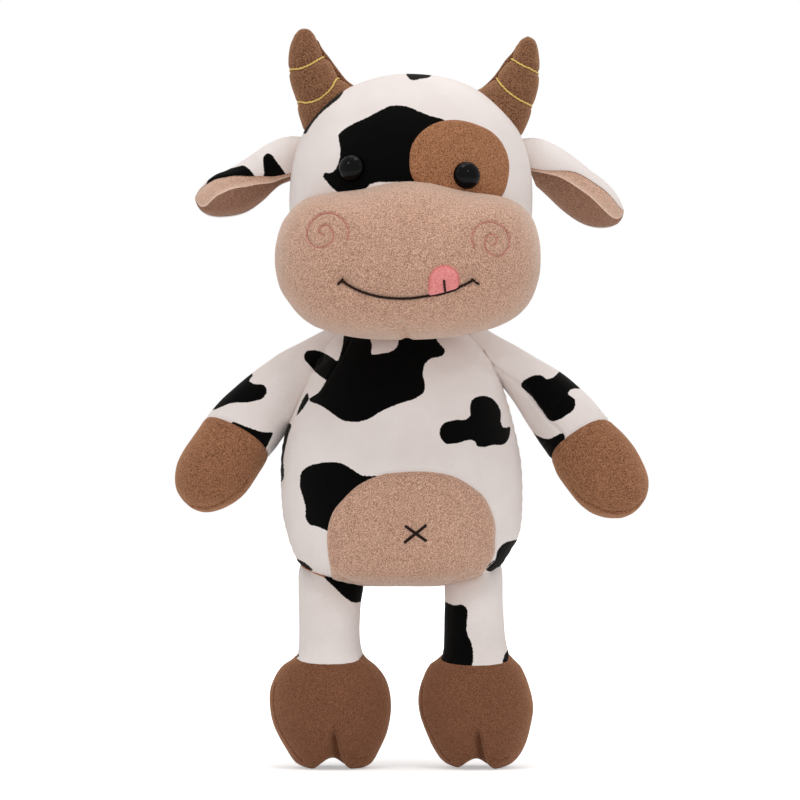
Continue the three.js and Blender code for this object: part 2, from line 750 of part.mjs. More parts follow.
// Smile, tongue and nostrils, on the front of the muzzle
const muzzleFront = muzzleSkin(muzzleForm, 0);

function smilePlace(share, riseShare) {
  return [smile.x + share * smile.width, smile.z + riseShare * smile.height];
}

function smileSolid(radius) {
  const places = smileShares.map(([share, rise]) => smilePlace(share, rise));
  let line = toSolid(threadOn(muzzleFront, places, radius));
  for (const end of [places[0], places.at(-1)]) {
    const out = Math.sign(end[0] - smile.x);
    line = line.add(toSolid(threadOn(muzzleFront, [
      [end[0] - out * smile.tick / 2, end[1] + smile.tick / 2],
      end,
      [end[0] + out * smile.tick / 2, end[1] - smile.tick / 2],
    ], radius)));
  }
  return line;
}
addPiece(headGroup, 'smile_stitch', toGeometry(smileSolid(thread.radius)), materials.darkThread);

function tongueOutline() {
  const { width, height, x, z, steps } = tongue;
  const outline = new THREE.Shape();
  const roundCentre = z + height - width / 2;
  outline.moveTo(x - width / 2, z);
  for (let i = 0; i <= steps; i += 1) {
    const angle = Math.PI * (1 - i / steps);
    outline.lineTo(
      x + width / 2 * Math.cos(angle), roundCentre + width / 2 * Math.sin(angle),
    );
  }
  outline.lineTo(x + width / 2, z);
  return outline;
}

function tongueSolid() {
  const slab = new THREE.ExtrudeGeometry(tongueOutline(), {
    depth: cutOverrun, bevelEnabled: false,
  });
  slab.rotateX(Math.PI / 2);
  slab.translate(0, -muzzleBack, 0);
  return toSolid(muzzleSkin(muzzleForm, seatGap + tongue.thickness))
    .subtract(toSolid(muzzleSkin(muzzleForm, seatGap)))
    .intersect(toSolid(slab))
    .subtract(smileSolid(thread.radius + seatGap));
}
addPiece(headGroup, 'tongue', toGeometry(tongueSolid()), materials.pinkFelt);

const tongueSkin = muzzleSkin(muzzleForm, seatGap + tongue.thickness);
const tongueThreadPlaces = [0, 0.5, 1].map((share) => [
  tongueThread.x, tongueThread.z + share * tongueThread.length,
]);
const tongueStitch = toSolid(threadOn(tongueSkin, tongueThreadPlaces))
  .subtract(smileSolid(thread.radius + seatGap));
addPiece(headGroup, 'tongue_stitch', toGeometry(tongueStitch), materials.darkThread);

for (const [side, sign] of sides) {
  const { x, z, outerRadius, innerRadius, turns, steps } = nostril;
  const places = [];
  for (let i = 0; i <= steps; i += 1) {
    const share = i / steps;
    const radius = outerRadius + (innerRadius - outerRadius) * share ** 0.8;
    const angle = 2 * Math.PI * turns * share;
    places.push([sign * (x - radius * Math.cos(angle)), z + radius * Math.sin(angle)]);
  }
  const spiral = toSolid(threadOn(muzzleFront, places));
  addPiece(headGroup, `nostril_${side}_stitch`, toGeometry(spiral), materials.pinkThread);
}

// Horns: each group's own +Z leaves the head along the horn
for (const [side, sign] of sides) {
  const form = { ...hornForm, turn: -sign * horn.turn };
  const group = new THREE.Group();
  const splay = radians(hornSeat.splay);
  group.position.set(
    sign * (hornSeat.x - hornSeat.embed * Math.sin(splay)), hornSeat.y,
    hornSeat.z - hornSeat.embed * Math.cos(splay),
  );
  group.rotation.y = sign * splay;
  group.updateMatrix();
  headGroup.add(group);
  const inverse = group.matrix.clone().invert();
  const room = toSolid(stuffed(headForm, seatGap).applyMatrix4(inverse));
  const shell = toSolid(stuffed(form)).subtract(toSolid(stuffed(form, -hornClothThickness)));
  const cover = toGeometry(shell.subtract(room));
  addPiece(group, `horn_${side}_cover`, cover, materials.brownFleece);
  const core = toSolid(stuffed(form, -hornClothThickness - seatGap)).subtract(room);
  addPiece(group, `horn_${side}_filling`, toGeometry(core), materials.fibre);
  hornBands.shares.forEach((share, bandIndex) => {
    const spine = spineAt(form, share * horn.length);
    const { wide, deep } = ringAt(form.rings, share * horn.length);
    const lift = seatGap + hornBands.thread;
    const band = new THREE.TorusGeometry(
      wide + lift, hornBands.thread, hornBands.sides, hornBands.around,
    );
    band.scale(1, (deep + lift) / (wide + lift), 1);
    band.rotateY(spine.tilt);
    band.translate(spine.x, 0, spine.z);
    const name = `horn_${side}_band_${bandIndex + 1}`;
    addPiece(group, name, toGeometry(toSolid(band)), materials.goldThread);
  });
}

// Ears: each group's own +X runs out along the ear from its seam on the head
function earRow(along) {
  const after = Math.max(earShares.findIndex(([share]) => share >= along), 1);
  const [from, fromTall, fromFold] = earShares[after - 1];
  const [to, toTall, toFold] = earShares[after];
  const mix = (along - from) / (to - from);
  return {
    tall: fromTall + mix * (toTall - fromTall),
    fold: fromFold + mix * (toFold - fromFold),
  };
}

// One panel lies between two layers of the fold, each so far out from its inside
function earPanel(sign, outerLayer, innerLayer) {
  const positions = [];
  const index = [];
  const { length, height, droop, fold, panel, along, across } = ear;
  const allCloth = 2 * panel + seatGap;
  for (const layer of [outerLayer, innerLayer]) {
    for (let i = 0; i <= along; i += 1) {
      const row = earRow(i / along);
      const tall = row.tall * height / 2 - allCloth + layer;
      const deep = row.fold * fold / 2 + layer;
      for (let j = 0; j <= across; j += 1) {
        const [low, high] = earSectionAngles;
        const angle = radians(low + (high - low) * j / across);
        positions.push(
          sign * (earSeam.clearance + (length - earSeam.clearance) * i / along),
          deep * Math.cos(angle),
          tall * Math.sin(angle) - droop * i / along,
        );
      }
    }
  }
  const rowSize = across + 1;
  const layerSize = (along + 1) * rowSize;
  const quad = (a, b, c, d) => {
    if (sign > 0) index.push(a, c, b, a, d, c);
    else index.push(a, b, c, a, c, d);
  };
  for (let i = 0; i < along; i += 1) {
    for (let j = 0; j < across; j += 1) {
      const a = i * rowSize + j;
      quad(a, a + rowSize, a + rowSize + 1, a + 1);
      quad(a + layerSize, a + layerSize + 1, a + layerSize + rowSize + 1, a + layerSize + rowSize);
    }
    const low = i * rowSize;
    const high = low + across;
    quad(low, low + layerSize, low + rowSize + layerSize, low + rowSize);
    quad(high, high + rowSize, high + rowSize + layerSize, high + layerSize);
  }
  for (let j = 0; j < across; j += 1) {
    const end = along * rowSize + j;
    quad(j, j + 1, j + 1 + layerSize, j + layerSize);
    quad(end, end + layerSize, end + 1 + layerSize, end + 1);
  }
  const geometry = new THREE.BufferGeometry();
  geometry.setAttribute('position', new THREE.Float32BufferAttribute(positions, 3));
  geometry.setIndex(index);
  return geometry;
}

const earSeat = ringAt(headForm.rings, earSeam.riseAbovePivot);
for (const [side, sign] of sides) {
  const group = new THREE.Group();
  group.position.set(sign * (earSeat.wide + seatGap), earSeat.shift, earSeam.riseAbovePivot);
  group.rotation.y = -sign * radians(earSeam.lean);
  headGroup.add(group);
  const outer = earPanel(sign, 2 * ear.panel + seatGap, ear.panel + seatGap);
  const inner = earPanel(sign, ear.panel, 0);
  addPiece(group, `ear_${side}_outer`, toGeometry(toSolid(outer)), materials.whitePlush);
  addPiece(group, `ear_${side}_inner`, toGeometry(toSolid(inner)), materials.brownFleece);
}

// Tail: hangs from its seam at the back of the torso
function makeTail() {
  const group = new THREE.Group();
  const back = stuffed(torsoForm);
  raycaster.set(
    new THREE.Vector3(0, cutOverrun, tail.height - crotchHeight), new THREE.Vector3(0, -1, 0),
  );
  const hit = raycaster.intersectObject(new THREE.Mesh(back, skinForSeats))[0];
  group.position.set(0, hit.point.y + tail.radius + 2 * seatGap, tail.height);
  group.rotation.y = Math.PI;
  cow.add(group);
  const cord = limbForm({ around: tail.around, squareness: 2 }, tail, tail.length, 0, tailShares);
  addPiece(group, 'tail_cord', toGeometry(toSolid(stuffed(cord))), materials.whitePlush);
  const form = {
    ...tuft, rings: ringsFromShares(tuftShares, tuft.length, tuft.width / 2, tuft.width / 2),
  };
  const brush = stuffed(form).translate(0, 0, tail.length + seatGap);
  addPiece(group, 'tail_tuft', toGeometry(toSolid(brush)), materials.brownFleece);
  return group;
}
const tailGroup = makeTail();

// The cow stands with the middle of its outline over the origin
cow.updateMatrixWorld(true);
const outlineBox = new THREE.Box3().setFromObject(cow, true);
const middle = outlineBox.getCenter(new THREE.Vector3());
cow.position.set(-middle.x, -middle.y, 0);
cow.updateMatrixWorld(true);

// Where each joint is, for whoever poses the cow
const jointPlaces = {
  neck: neckGroup, tail: tailGroup,
  arm_right: armPlaces.right.group, arm_left: armPlaces.left.group,
  leg_right: legPlaces.right.group, leg_left: legPlaces.left.group,
  ear_right: headGroup.getObjectByName('ear_right_outer').parent,
  ear_left: headGroup.getObjectByName('ear_left_outer').parent,
};
for (const [name, group] of Object.entries(jointPlaces)) {
  cow.userData[name] = group.getWorldPosition(new THREE.Vector3()).toArray();
}

export default cow;
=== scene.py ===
"""Looks for a stuffed plush cow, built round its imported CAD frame.

Metres, +Z up, the face looks along -Y, and the cow's left hand is at +X. Places that were
read from the photograph are (column, row) in its 800 x 800 frame. Sizes in mm say so.
"""

import json
import math

import bmesh
import bpy
import numpy as np
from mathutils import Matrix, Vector, kdtree, noise
from mathutils.bvhtree import BVHTree


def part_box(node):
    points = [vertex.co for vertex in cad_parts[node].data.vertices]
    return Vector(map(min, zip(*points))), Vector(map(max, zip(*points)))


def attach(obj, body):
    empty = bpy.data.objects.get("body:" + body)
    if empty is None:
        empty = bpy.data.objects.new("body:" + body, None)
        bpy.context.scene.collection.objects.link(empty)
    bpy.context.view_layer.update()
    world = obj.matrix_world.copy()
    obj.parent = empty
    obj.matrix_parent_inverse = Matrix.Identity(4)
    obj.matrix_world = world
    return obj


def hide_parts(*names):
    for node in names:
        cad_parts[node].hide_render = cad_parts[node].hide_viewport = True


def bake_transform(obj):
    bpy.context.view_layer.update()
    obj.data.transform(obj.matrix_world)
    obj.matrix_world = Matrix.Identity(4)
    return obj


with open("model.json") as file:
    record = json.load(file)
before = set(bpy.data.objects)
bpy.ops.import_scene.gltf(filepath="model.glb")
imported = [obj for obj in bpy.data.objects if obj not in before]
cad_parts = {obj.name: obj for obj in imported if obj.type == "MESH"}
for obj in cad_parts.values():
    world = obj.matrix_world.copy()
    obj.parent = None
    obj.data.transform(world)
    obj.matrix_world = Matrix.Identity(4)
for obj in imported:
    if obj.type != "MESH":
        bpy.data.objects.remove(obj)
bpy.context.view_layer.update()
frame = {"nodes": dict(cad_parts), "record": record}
PIVOTS = {
    joint["name"]: np.array(joint["pos_m"]) for joint in frame["record"]["behaviour"]["joints"]
}

# Camera: level, far off, straight in front
PIXEL = 0.0006
CAMERA_DISTANCE = 3.0
FRAME_SIZE = 800
CENTRE = FRAME_SIZE / 2
AXIS_COLUMN = 411
FLOOR_ROW = 768
SENSOR = 36.0
CAMERA_X = (CENTRE - AXIS_COLUMN) * PIXEL
CAMERA_Z = (FLOOR_ROW - CENTRE) * PIXEL
FAR_CLIP = 20

# Soft light of the studio: the world's level and what it gains towards each side, as axis, sign
# and gain; and the lamps as name, place, width and watts
WORLD_LIGHT = 0.58
WORLD_LOBES = ((1, -1, 0.12), (0, 1, 0.17))
LAMPS = (
    ("top_front", (0.0, -0.7, 1.9), 0.5, 4.4),
    ("top", (0.0, 0.1, 2.0), 1.6, 8.4),
    ("sparkle_right", (-1.3, -1.0, 1.4), 0.14, 1.6),
    ("sparkle_left", (0.9, -1.4, 1.3), 0.14, 1.2),
)
FLOOR_SIZE = 6.0
FLOOR_GLOW = 0.42
FLOOR_FAR_GLOW = 0.5
FLOOR_FADE = (0.25, 1.2)

MM = 0.001
TINY = 1e-6
WHITE = (1, 1, 1, 1)
SIDES = (("right", -1), ("left", 1))
NECK = PIVOTS["neck_turn"]
# The head leans, and sits a few mm to its right; nothing of it comes nearer to the neck's pivot
# than the dome's radius
HEAD_TILT = math.radians(2.8)
HEAD_SHIFT = -2.0
DOME = 0.0505
# Where a patch can't be: far outside its outline
OUTSIDE = -0.05
# Black spots: how wide front and back spots pass into each other, how far facing counts, and the
# spacing of points along an outline, in pixels in front and in mm behind
SPOT_TURN = 0.012
SPOT_FACING = 0.6
SPOT_SPACING = 3.0
BACK_SPACING = 2.0
NO_SPOT = -9.0
FAR_OUTSIDE = -99.0
# How fast a loft opens from a pointed end
POINT_SWELL = 1.35

# Cloth simulation
CLOTH = {
    "quality": 5, "mass": 0.2, "tension_stiffness": 20, "compression_stiffness": 20,
    "bending_stiffness": 0.4, "use_pressure": True, "uniform_pressure_force": 4.0,
}
CLOTH_FRAMES = 20
# Stuffed forms: mesh size of the cover, how far it may swell, how far it is drawn in first, then
# the height and size of the filling's lumps
STUFFING = {
    "body": (0.0045, 0.004, 0.0015, 0.0008, 0.035),
    "head": (0.0045, 0.004, 0.0015, 0.0008, 0.04),
    "muzzle": (0.004, 0.003, 0.0015, 0.0007, 0.03),
    "limb": (0.003, 0.0025, 0.001, 0.0006, 0.022),
}
# A horn's mesh size, swelling and drawing in, without lumps; the neck's lumps and their seed
HORN_SWELL = (0.0025, 0.0015, 0.0005)
NECK_LUMPS = (0.0006, 0.006, 21.0)
LUMP_SEEDS = {"body": 1.0, "head": 4.0, "muzzle": 7.0, "left": 11.0, "right": 13.0}

# Seams: depth and width of the groove, size and pitch of its gathers, and how far they reach
SEAMS = {
    "belly": (0.0014, 0.0018, 0.0003, 0.007, 0.012),
    "side": (0.0009, 0.0012, 0.0003, 0.007, 0.012),
    "crown": (0.0008, 0.0012, 0.0003, 0.007, 0.012),
    "arm_root": (0.0015, 0.003, 0.0007, 0.008, 0.02),
    "leg_root": (0.0012, 0.003, 0.0006, 0.008, 0.018),
    "shoulder": (0.0011, 0.0009, 0.0002, 0.006, 0.006),
    "dart": (0.0022, 0.0024, 0.0005, 0.006, 0.014),
    "smile_hollow": (0.0013, 0.0060, 0.0, 0.006, 0.015),
    "smile": (0.0013, 0.0014, 0.0002, 0.006, 0.006),
    "swirl_ridge": (-0.0006, 0.0026, 0.0, 0.005, 0.009),
    "swirl": (0.0023, 0.0010, 0.0001, 0.005, 0.005),
    "limb_end": (0.0010, 0.0012, 0.00025, 0.006, 0.008),
    "horn_band": (0.0011, 0.0020, 0.0003, 0.005, 0.006),
}
LIMB_GATHER = (0.0002, 0.006, 0.005)
GATHER_WANDER = 3
GATHER_WANDER_SIZE = 0.02

# Threads: each stitch's length, gap, radius, lean, height over the cloth, and thickness by width
STITCHES = {
    "navel": (0.0021, -0.0016, 0.00045, math.radians(62), 0.0003, 1.0),
    "smile": (0.0034, -0.0012, 0.00078, 0.12, 0.0003, 0.9),
    "nostril": (0.0011, 0.0007, 0.00042, 0.0, 0.0002, 0.9),
    "tongue_rim": (0.0016, -0.0010, 0.00030, math.radians(70), 0.0001, 0.9),
    "tongue": (0.0026, -0.0010, 0.0007, 0.1, 0.0003, 0.9),
    "horn_band": (0.0034, -0.0010, 0.00058, 0.12, 0.0002, 0.9),
    "closing": (0.0030, -0.0008, 0.00042, 0.1, 0.0, 0.8),
}
STITCH_SIDES = 7
STITCH_RINGS = 6
STITCH_HUMP = 0.35
STITCH_ROUND = 0.7

# Cloth layers: height over the surface, width of the rounded edge, how deep the rest sinks, and
# how far outside the outline it is kept
PATCHES = {
    "belly": (0.0011, 0.0016, 0.0007, -0.0022),
    "eye": (0.0010, 0.0016, 0.0007, -0.0022),
    "tongue": (0.0016, 0.0010, 0.0004, -0.0016),
}
PATCH_CLOTH = 0.0008


def from_photo(column, row, depth=0.0):
    """The place seen at a pixel, at a depth y."""
    scale = PIXEL * (CAMERA_DISTANCE + depth) / CAMERA_DISTANCE
    across, up = (column - CENTRE) * scale, (CENTRE - row) * scale
    return np.array([CAMERA_X + across, depth, CAMERA_Z + up])


def to_photo(points):
    """The pixels at which places are seen."""
    scale = PIXEL * (CAMERA_DISTANCE + points[:, 1]) / CAMERA_DISTANCE
    columns = CENTRE + (points[:, 0] - CAMERA_X) / scale
    rows = CENTRE - (points[:, 2] - CAMERA_Z) / scale
    return np.stack([columns, rows], axis=1)


# Curves and lofts

def unit(vector):
    return vector / np.linalg.norm(vector)


def arc_lengths(points):
    """The way along a line to each of its points."""
    return np.concatenate([[0], np.cumsum(np.linalg.norm(np.diff(points, axis=0), axis=1))])


def hermite(knots, values, tangents, places):
    """A smooth curve through values at knots, read at places."""
    index = np.clip(np.searchsorted(knots, places, side="right") - 1, 0, len(knots) - 2)
    step = (knots[index + 1] - knots[index])[:, None]
    t = (places[:, None] - knots[index][:, None]) / step
    a, b = values[index], values[index + 1]
    m, n = tangents[index] * step, tangents[index + 1] * step
    return (
        (2 * t**3 - 3 * t**2 + 1) * a + (t**3 - 2 * t**2 + t) * m
        + (-2 * t**3 + 3 * t**2) * b + (t**3 - t**2) * n
    )


def inner_tangents(knots, values):
    step = np.diff(knots)[:, None]
    slope = np.diff(values, axis=0) / step
    tangents = np.empty_like(values)
    tangents[1:-1] = (step[1:] * slope[:-1] + step[:-1] * slope[1:]) / (step[1:] + step[:-1])
    tangents[0], tangents[-1] = slope[0], slope[-1]
    return tangents


def smooth_line(points, spacing, closed=False):
    """Points at an even spacing along a smooth curve through the given ones."""
    points = np.array(points, float)
    if closed:
        points = np.concatenate([points[-3:], points, points[:3]])
    knots = arc_lengths(points)
    low, high = (knots[3], knots[-3]) if closed else (knots[0], knots[-1])
    count = max(int(round((high - low) / spacing)), 2)
    places = np.linspace(low, high, count + 1)
    if closed:
        places = places[:-1]
    return hermite(knots, points, inner_tangents(knots, points), places)


def section(centre, side, front, back):
    """A row of a loft: its middle, its half width, and its reach in front and behind."""
    return centre, side, (0, -front, 0), (0, back, 0)


def round_section(centre, radius):
    return section(centre, (radius, 0, 0), radius, radius)


def seen_section(first, second, plane, front, back):
    """A row between two pixels, in a plane of one depth; front and back in mm."""
    a, b = from_photo(*first, plane), from_photo(*second, plane)
    return section((a + b) / 2, (b - a) / 2, front * MM, back * MM)


def level_rows(table):
    """Rows of (row, left column, right column, more) as rows between two pixels."""
    return [((left, row), (right, row), *more) for row, left, right, *more in table]


def loft(rows, squareness, spacing=0.002, around=72):
    """A closed skin over rows, with a rounded point where an end row has no width."""
    rows = np.array([np.concatenate(row) for row in rows], float)
    knots = arc_lengths(rows[:, :6])
    tangents = inner_tangents(knots, rows)
    for end, nearby in ((0, 1), (-1, -2)):
        if np.linalg.norm(rows[end, 3:6]) == 0:
            reach = knots[nearby] - knots[end]
            tangents[end, :3] = 0
            tangents[end, 3:] = POINT_SWELL * rows[nearby, 3:] / reach
    places = []
    for low, high in zip(knots[:-1], knots[1:]):
        count = max(int(math.ceil((high - low) / spacing)), 2)
        places += list(np.linspace(low, high, count, endpoint=False))
    dense = hermite(knots, rows, tangents, np.array(places + [knots[-1]]))
    angles = 2 * math.pi * np.arange(around) / around
    power = 2 / squareness
    wide = np.sign(np.cos(angles)) * np.abs(np.cos(angles)) ** power
    deep = np.abs(np.sin(angles)) ** power
    front = (np.sin(angles) >= 0)[:, None]
    rings = []
    for row in dense:
        side = np.where(front, row[6:9], row[9:12])
        ring = row[:3] + wide[:, None] * row[3:6] + deep[:, None] * side
        rings.append([row[:3]] if np.linalg.norm(row[3:6]) < TINY else ring)
    return skin(rings)


def skin(rings):
    """The vertices and faces of a skin over rings of points; a ring of one is a point."""
    vertices = [place for ring in rings for place in ring]
    starts = np.cumsum([0] + [len(ring) for ring in rings]).tolist()
    faces = []
    for here, after, end in zip(starts[:-2], starts[1:-1], starts[2:]):
        low, high = after - here, end - after
        for i in range(max(low, high)):
            j = (i + 1) % max(low, high)
            corners = [here + i % low, here + j % low, after + j % high, after + i % high]
            faces.append(list(dict.fromkeys(corners)))
    return vertices, faces


def merge(parts):
    """The vertices and faces of several skins as one."""
    vertices, faces = [], []
    for part_vertices, part_faces in parts:
        start = len(vertices)
        vertices += list(part_vertices)
        faces += [[start + index for index in face] for face in part_faces]
    return vertices, faces


# Objects and their surfaces

def link_object(name, data):
    made = bpy.data.objects.new(name, data)
    bpy.context.scene.collection.objects.link(made)
    return made


def close_mesh(name, work):
    """Ends the work on a bmesh and keeps it as a smooth mesh."""
    mesh = bpy.data.meshes.new(name)
    work.to_mesh(mesh)
    work.free()
    mesh.shade_smooth()
    return mesh


def open_mesh(mesh):
    work = bmesh.new()
    work.from_mesh(mesh)
    return work


def make_object(name, vertices, faces):
    mesh = bpy.data.meshes.new(name)
    mesh.from_pydata([tuple(v) for v in vertices], [], faces)
    mesh.validate()
    work = open_mesh(mesh)
    bmesh.ops.recalc_face_normals(work, faces=work.faces)
    work.to_mesh(mesh)
    work.free()
    mesh.shade_smooth()
    return link_object(name, mesh)


def read_vectors(items, name):
    flat = np.empty(len(items) * 3, np.float32)
    items.foreach_get(name, flat)
    return flat.reshape(-1, 3).astype(float)


def positions(piece):
    return read_vectors(piece.data.vertices, "co")


def normals(piece):
    return read_vectors(piece.data.vertex_normals, "vector")


def move_to(piece, places):
    piece.data.vertices.foreach_set("co", np.asarray(places, np.float32).ravel())
    piece.data.update()


def set_value(piece, name, values):
    """A number for each vertex, which the materials read by its name."""
    attribute = piece.data.attributes.new(name, "FLOAT", "POINT")
    attribute.data.foreach_set("value", np.asarray(values, np.float32))


def apply_modifier(piece, kind, **settings):
    modifier = piece.modifiers.new(kind.title(), kind)
    for key, value in settings.items():
        setattr(modifier, key, value)
    graph = bpy.context.evaluated_depsgraph_get()
    mesh = bpy.data.meshes.new_from_object(piece.evaluated_get(graph))
    piece.modifiers.remove(modifier)
    old = piece.data
    piece.data = mesh
    bpy.data.meshes.remove(old)
    mesh.shade_smooth()


def stuff(piece, kind, seed, over_neck=False):
    """Blows a cover up, then gives it the small lumps of its filling."""
    voxel, most, inset, height, size = STUFFING[kind]
    puff(piece, voxel, most, inset)
    if over_neck:
        clear_dome(piece)
    roughen(piece, height, size, seed)
    refine(piece)


def puff(piece, voxel, most, inset):
    """Cloth simulation: the cover is drawn in a little, then blown up by its filling."""
    drawn = positions(piece)
    apply_modifier(piece, "REMESH", mode="VOXEL", voxel_size=voxel)
    start = positions(piece)
    move_to(piece, start - inset * normals(piece))
    modifier = piece.modifiers.new("Cloth", "CLOTH")
    for key, value in CLOTH.items():
        setattr(modifier.settings, key, value)
    modifier.settings.effector_weights.gravity = 0
    modifier.point_cache.frame_start = 1
    modifier.point_cache.frame_end = CLOTH_FRAMES
    for number in range(1, CLOTH_FRAMES + 1):
        bpy.context.scene.frame_set(number)
    graph = bpy.context.evaluated_depsgraph_get()
    shift = read_vectors(piece.evaluated_get(graph).data.vertices, "co") - start
    length = np.linalg.norm(shift, axis=1, keepdims=True)
    shift *= np.minimum(1, most / np.maximum(length, TINY))
    piece.modifiers.remove(modifier)
    bpy.context.scene.frame_set(1)
    move_to(piece, start + shift)
    refine(piece)
    fit_to(piece, drawn.min(axis=0), drawn.max(axis=0))


def fit_to(piece, low, high):
    """Scales a piece along each axis until it fills a box."""
    places = positions(piece)
    least, most = places.min(axis=0), places.max(axis=0)
    move_to(piece, low + (places - least) * (high - low) / (most - least))


def refine(piece):
    apply_modifier(piece, "SUBSURF", levels=1, render_levels=1)


def refine_near(piece, line, reach):
    """Halves the faces along a line, so that a fine groove has shape there."""
    near = set(near_line(positions(piece), line, reach)[0].tolist())
    work = open_mesh(piece.data)
    edges = [edge for edge in work.edges if all(vertex.index in near for vertex in edge.verts)]
    bmesh.ops.subdivide_edges(work, edges=edges, cuts=1, use_grid_fill=True)
    work.to_mesh(piece.data)
    work.free()
    piece.data.shade_smooth()


def near_line(places, line, reach):
    """For each place within reach of a line: its index, distance, and way along the line."""
    tree = kdtree.KDTree(len(line))
    for index, point in enumerate(line):
        tree.insert(Vector(point), index)
    tree.balance()
    along = arc_lengths(line)
    low, high = line.min(axis=0) - reach, line.max(axis=0) + reach
    inside = np.nonzero(np.all((places > low) & (places < high), axis=1))[0]
    found = []
    for index in inside:
        _, nearest, distance = tree.find(Vector(places[index]))
        if distance < reach:
            found.append((index, distance, along[nearest]))
    found = np.array(found).reshape(-1, 3)
    return found[:, 0].astype(int), found[:, 1], found[:, 2]


def sew(piece, line, depth, width, pucker, pitch, reach):
    """Draws the surface in along a seam, with small gathers that run away from it."""
    places = positions(piece)
    index, distance, along = near_line(places, line, max(reach, 3 * width))
    if len(index) == 0:
        return
    groove = np.exp(-((distance / width) ** 2))
    wander = np.array([noise.noise(Vector((s / GATHER_WANDER_SIZE, 0.7, 0.2))) for s in along])
    gather = np.sin(2 * math.pi * along / pitch + GATHER_WANDER * wander)
    fade = np.exp(-distance / (0.4 * reach)) * (1 - groove)
    shift = pucker * gather * fade - depth * groove
    places[index] += normals(piece)[index] * shift[:, None]
    move_to(piece, places)


def swell(piece, heights):
    """Moves each vertex out along its normal."""
    move_to(piece, positions(piece) + normals(piece) * heights[:, None])


def press(piece, place, radius, depth):
    """A round dimple in a piece."""
    away = np.linalg.norm(positions(piece) - place, axis=1)
    swell(piece, -depth * np.exp(-(away / radius) ** 2))


def roughen(piece, height, size, seed):
    """Small uneven swellings of the filling."""
    shift = Vector((seed, 2 * seed, 3 * seed))
    lumps = [noise.noise(Vector(place) / size + shift) for place in positions(piece)]
    swell(piece, height * np.array(lumps))


def clear_dome(piece):
    """Presses the underside of the head or muzzle up off the round shoulders."""
    away = positions(piece) - NECK
    distance = np.linalg.norm(away, axis=1, keepdims=True)
    move_to(piece, NECK + away * np.maximum(1, DOME / np.maximum(distance, TINY)))


def signed_distance(points, outline):
    """How far inside (positive) a closed outline each 2-D point is."""
    best = np.full(len(points), np.inf)
    crossings = np.zeros(len(points), int)
    x, y = points[:, 0], points[:, 1]
    for (ax, ay), (bx, by) in zip(outline, np.roll(outline, -1, axis=0)):
        ex, ey = bx - ax, by - ay
        share = ((x - ax) * ex + (y - ay) * ey) / max(ex * ex + ey * ey, 1e-12)
        share = np.clip(share, 0, 1)
        gap = (x - ax - share * ex) ** 2 + (y - ay - share * ey) ** 2
        best = np.minimum(best, gap)
        if ay != by:
            crossings += ((ay > y) != (by > y)) & (x < ex * (y - ay) / ey + ax)
    return np.where(crossings % 2 == 1, 1, -1) * np.sqrt(best)


def inside_outlines(points, outlines, spacing):
    """The largest signed distance to any of the outlines, smoothed through their points."""
    total = np.full(len(points), FAR_OUTSIDE)
    for outline in outlines:
        round_outline = smooth_line(outline, spacing, closed=True)
        total = np.maximum(total, signed_distance(points, round_outline))
    return total


def spots_on(piece, front, back, middle):
    """Black spots: outlines by pixel in front, and as (x, z) in mm at the back."""
    places = positions(piece)
    ahead = inside_outlines(to_photo(places), front, SPOT_SPACING) * PIXEL / MM
    behind = inside_outlines(places[:, [0, 2]] / MM, back, BACK_SPACING)
    turn = (places[:, 1] - middle) / SPOT_TURN + SPOT_FACING * normals(piece)[:, 1]
    turn = np.clip(turn, 0, 1)
    set_value(piece, "spot", ahead * (1 - turn) + behind * turn)


def surface_of(piece):
    return BVHTree.FromObject(piece, bpy.context.evaluated_depsgraph_get())


def seen_on(surface, pixels):
    """Where the surface is seen at these pixels, and which way it faces there."""
    eye = Vector((CAMERA_X, -CAMERA_DISTANCE, CAMERA_Z))
    points, facings = [], []
    for column, row in pixels:
        target = Vector(from_photo(column, row))
        point, facing, _, _ = surface.ray_cast(eye, (target - eye).normalized())
        if point is not None:
            points.append(np.array(point))
            facings.append(np.array(facing))
    return np.array(points), np.array(facings)


def seen_line(surface, line, spacing):
    """The places on a surface along a smooth line in the photograph."""
    return seen_on(surface, smooth_line(line, spacing))[0]


def settle(surface, line):
    """The nearest places on a surface to a line, and their facings."""
    points, facings = [], []
    for place in line:
        point, facing, _, _ = surface.find_nearest(Vector(place))
        points.append(np.array(point))
        facings.append(np.array(facing))
    return np.array(points), np.array(facings)


def cast(surface, start, heading):
    """Where a ray meets a surface, as a list of one place or none."""
    point, _, _, _ = surface.ray_cast(Vector(start), Vector(heading))
    return [] if point is None else [np.array(point)]


def read_at(step, track, way):
    """A track's value at a way along it."""
    return np.array([np.interp(way, step, track[:, k]) for k in range(3)])


def stitch(place, along, out, half, radius, lean, lift, flat):
    """One short thread: a slim capsule that leans by an angle."""
    along = unit(along - out * (along @ out))
    heading = math.cos(lean) * along + math.sin(lean) * np.cross(out, along)
    beside = np.cross(out, heading)
    rings = []
    for number in range(STITCH_RINGS + 1):
        share = -1 + 2 * number / STITCH_RINGS
        thick = radius * math.sqrt(max(1 - share**2, 0)) ** STITCH_ROUND
        hump = out * (lift + STITCH_HUMP * radius * (1 - share**2))
        centre = place + heading * half * share + hump
        ring = []
        for k in range(STITCH_SIDES):
            angle = 2 * math.pi * k / STITCH_SIDES
            round_place = math.cos(angle) * beside + flat * math.sin(angle) * out
            ring.append(centre + thick * round_place)
        rings.append([centre] if number in (0, STITCH_RINGS) else ring)
    return skin(rings)


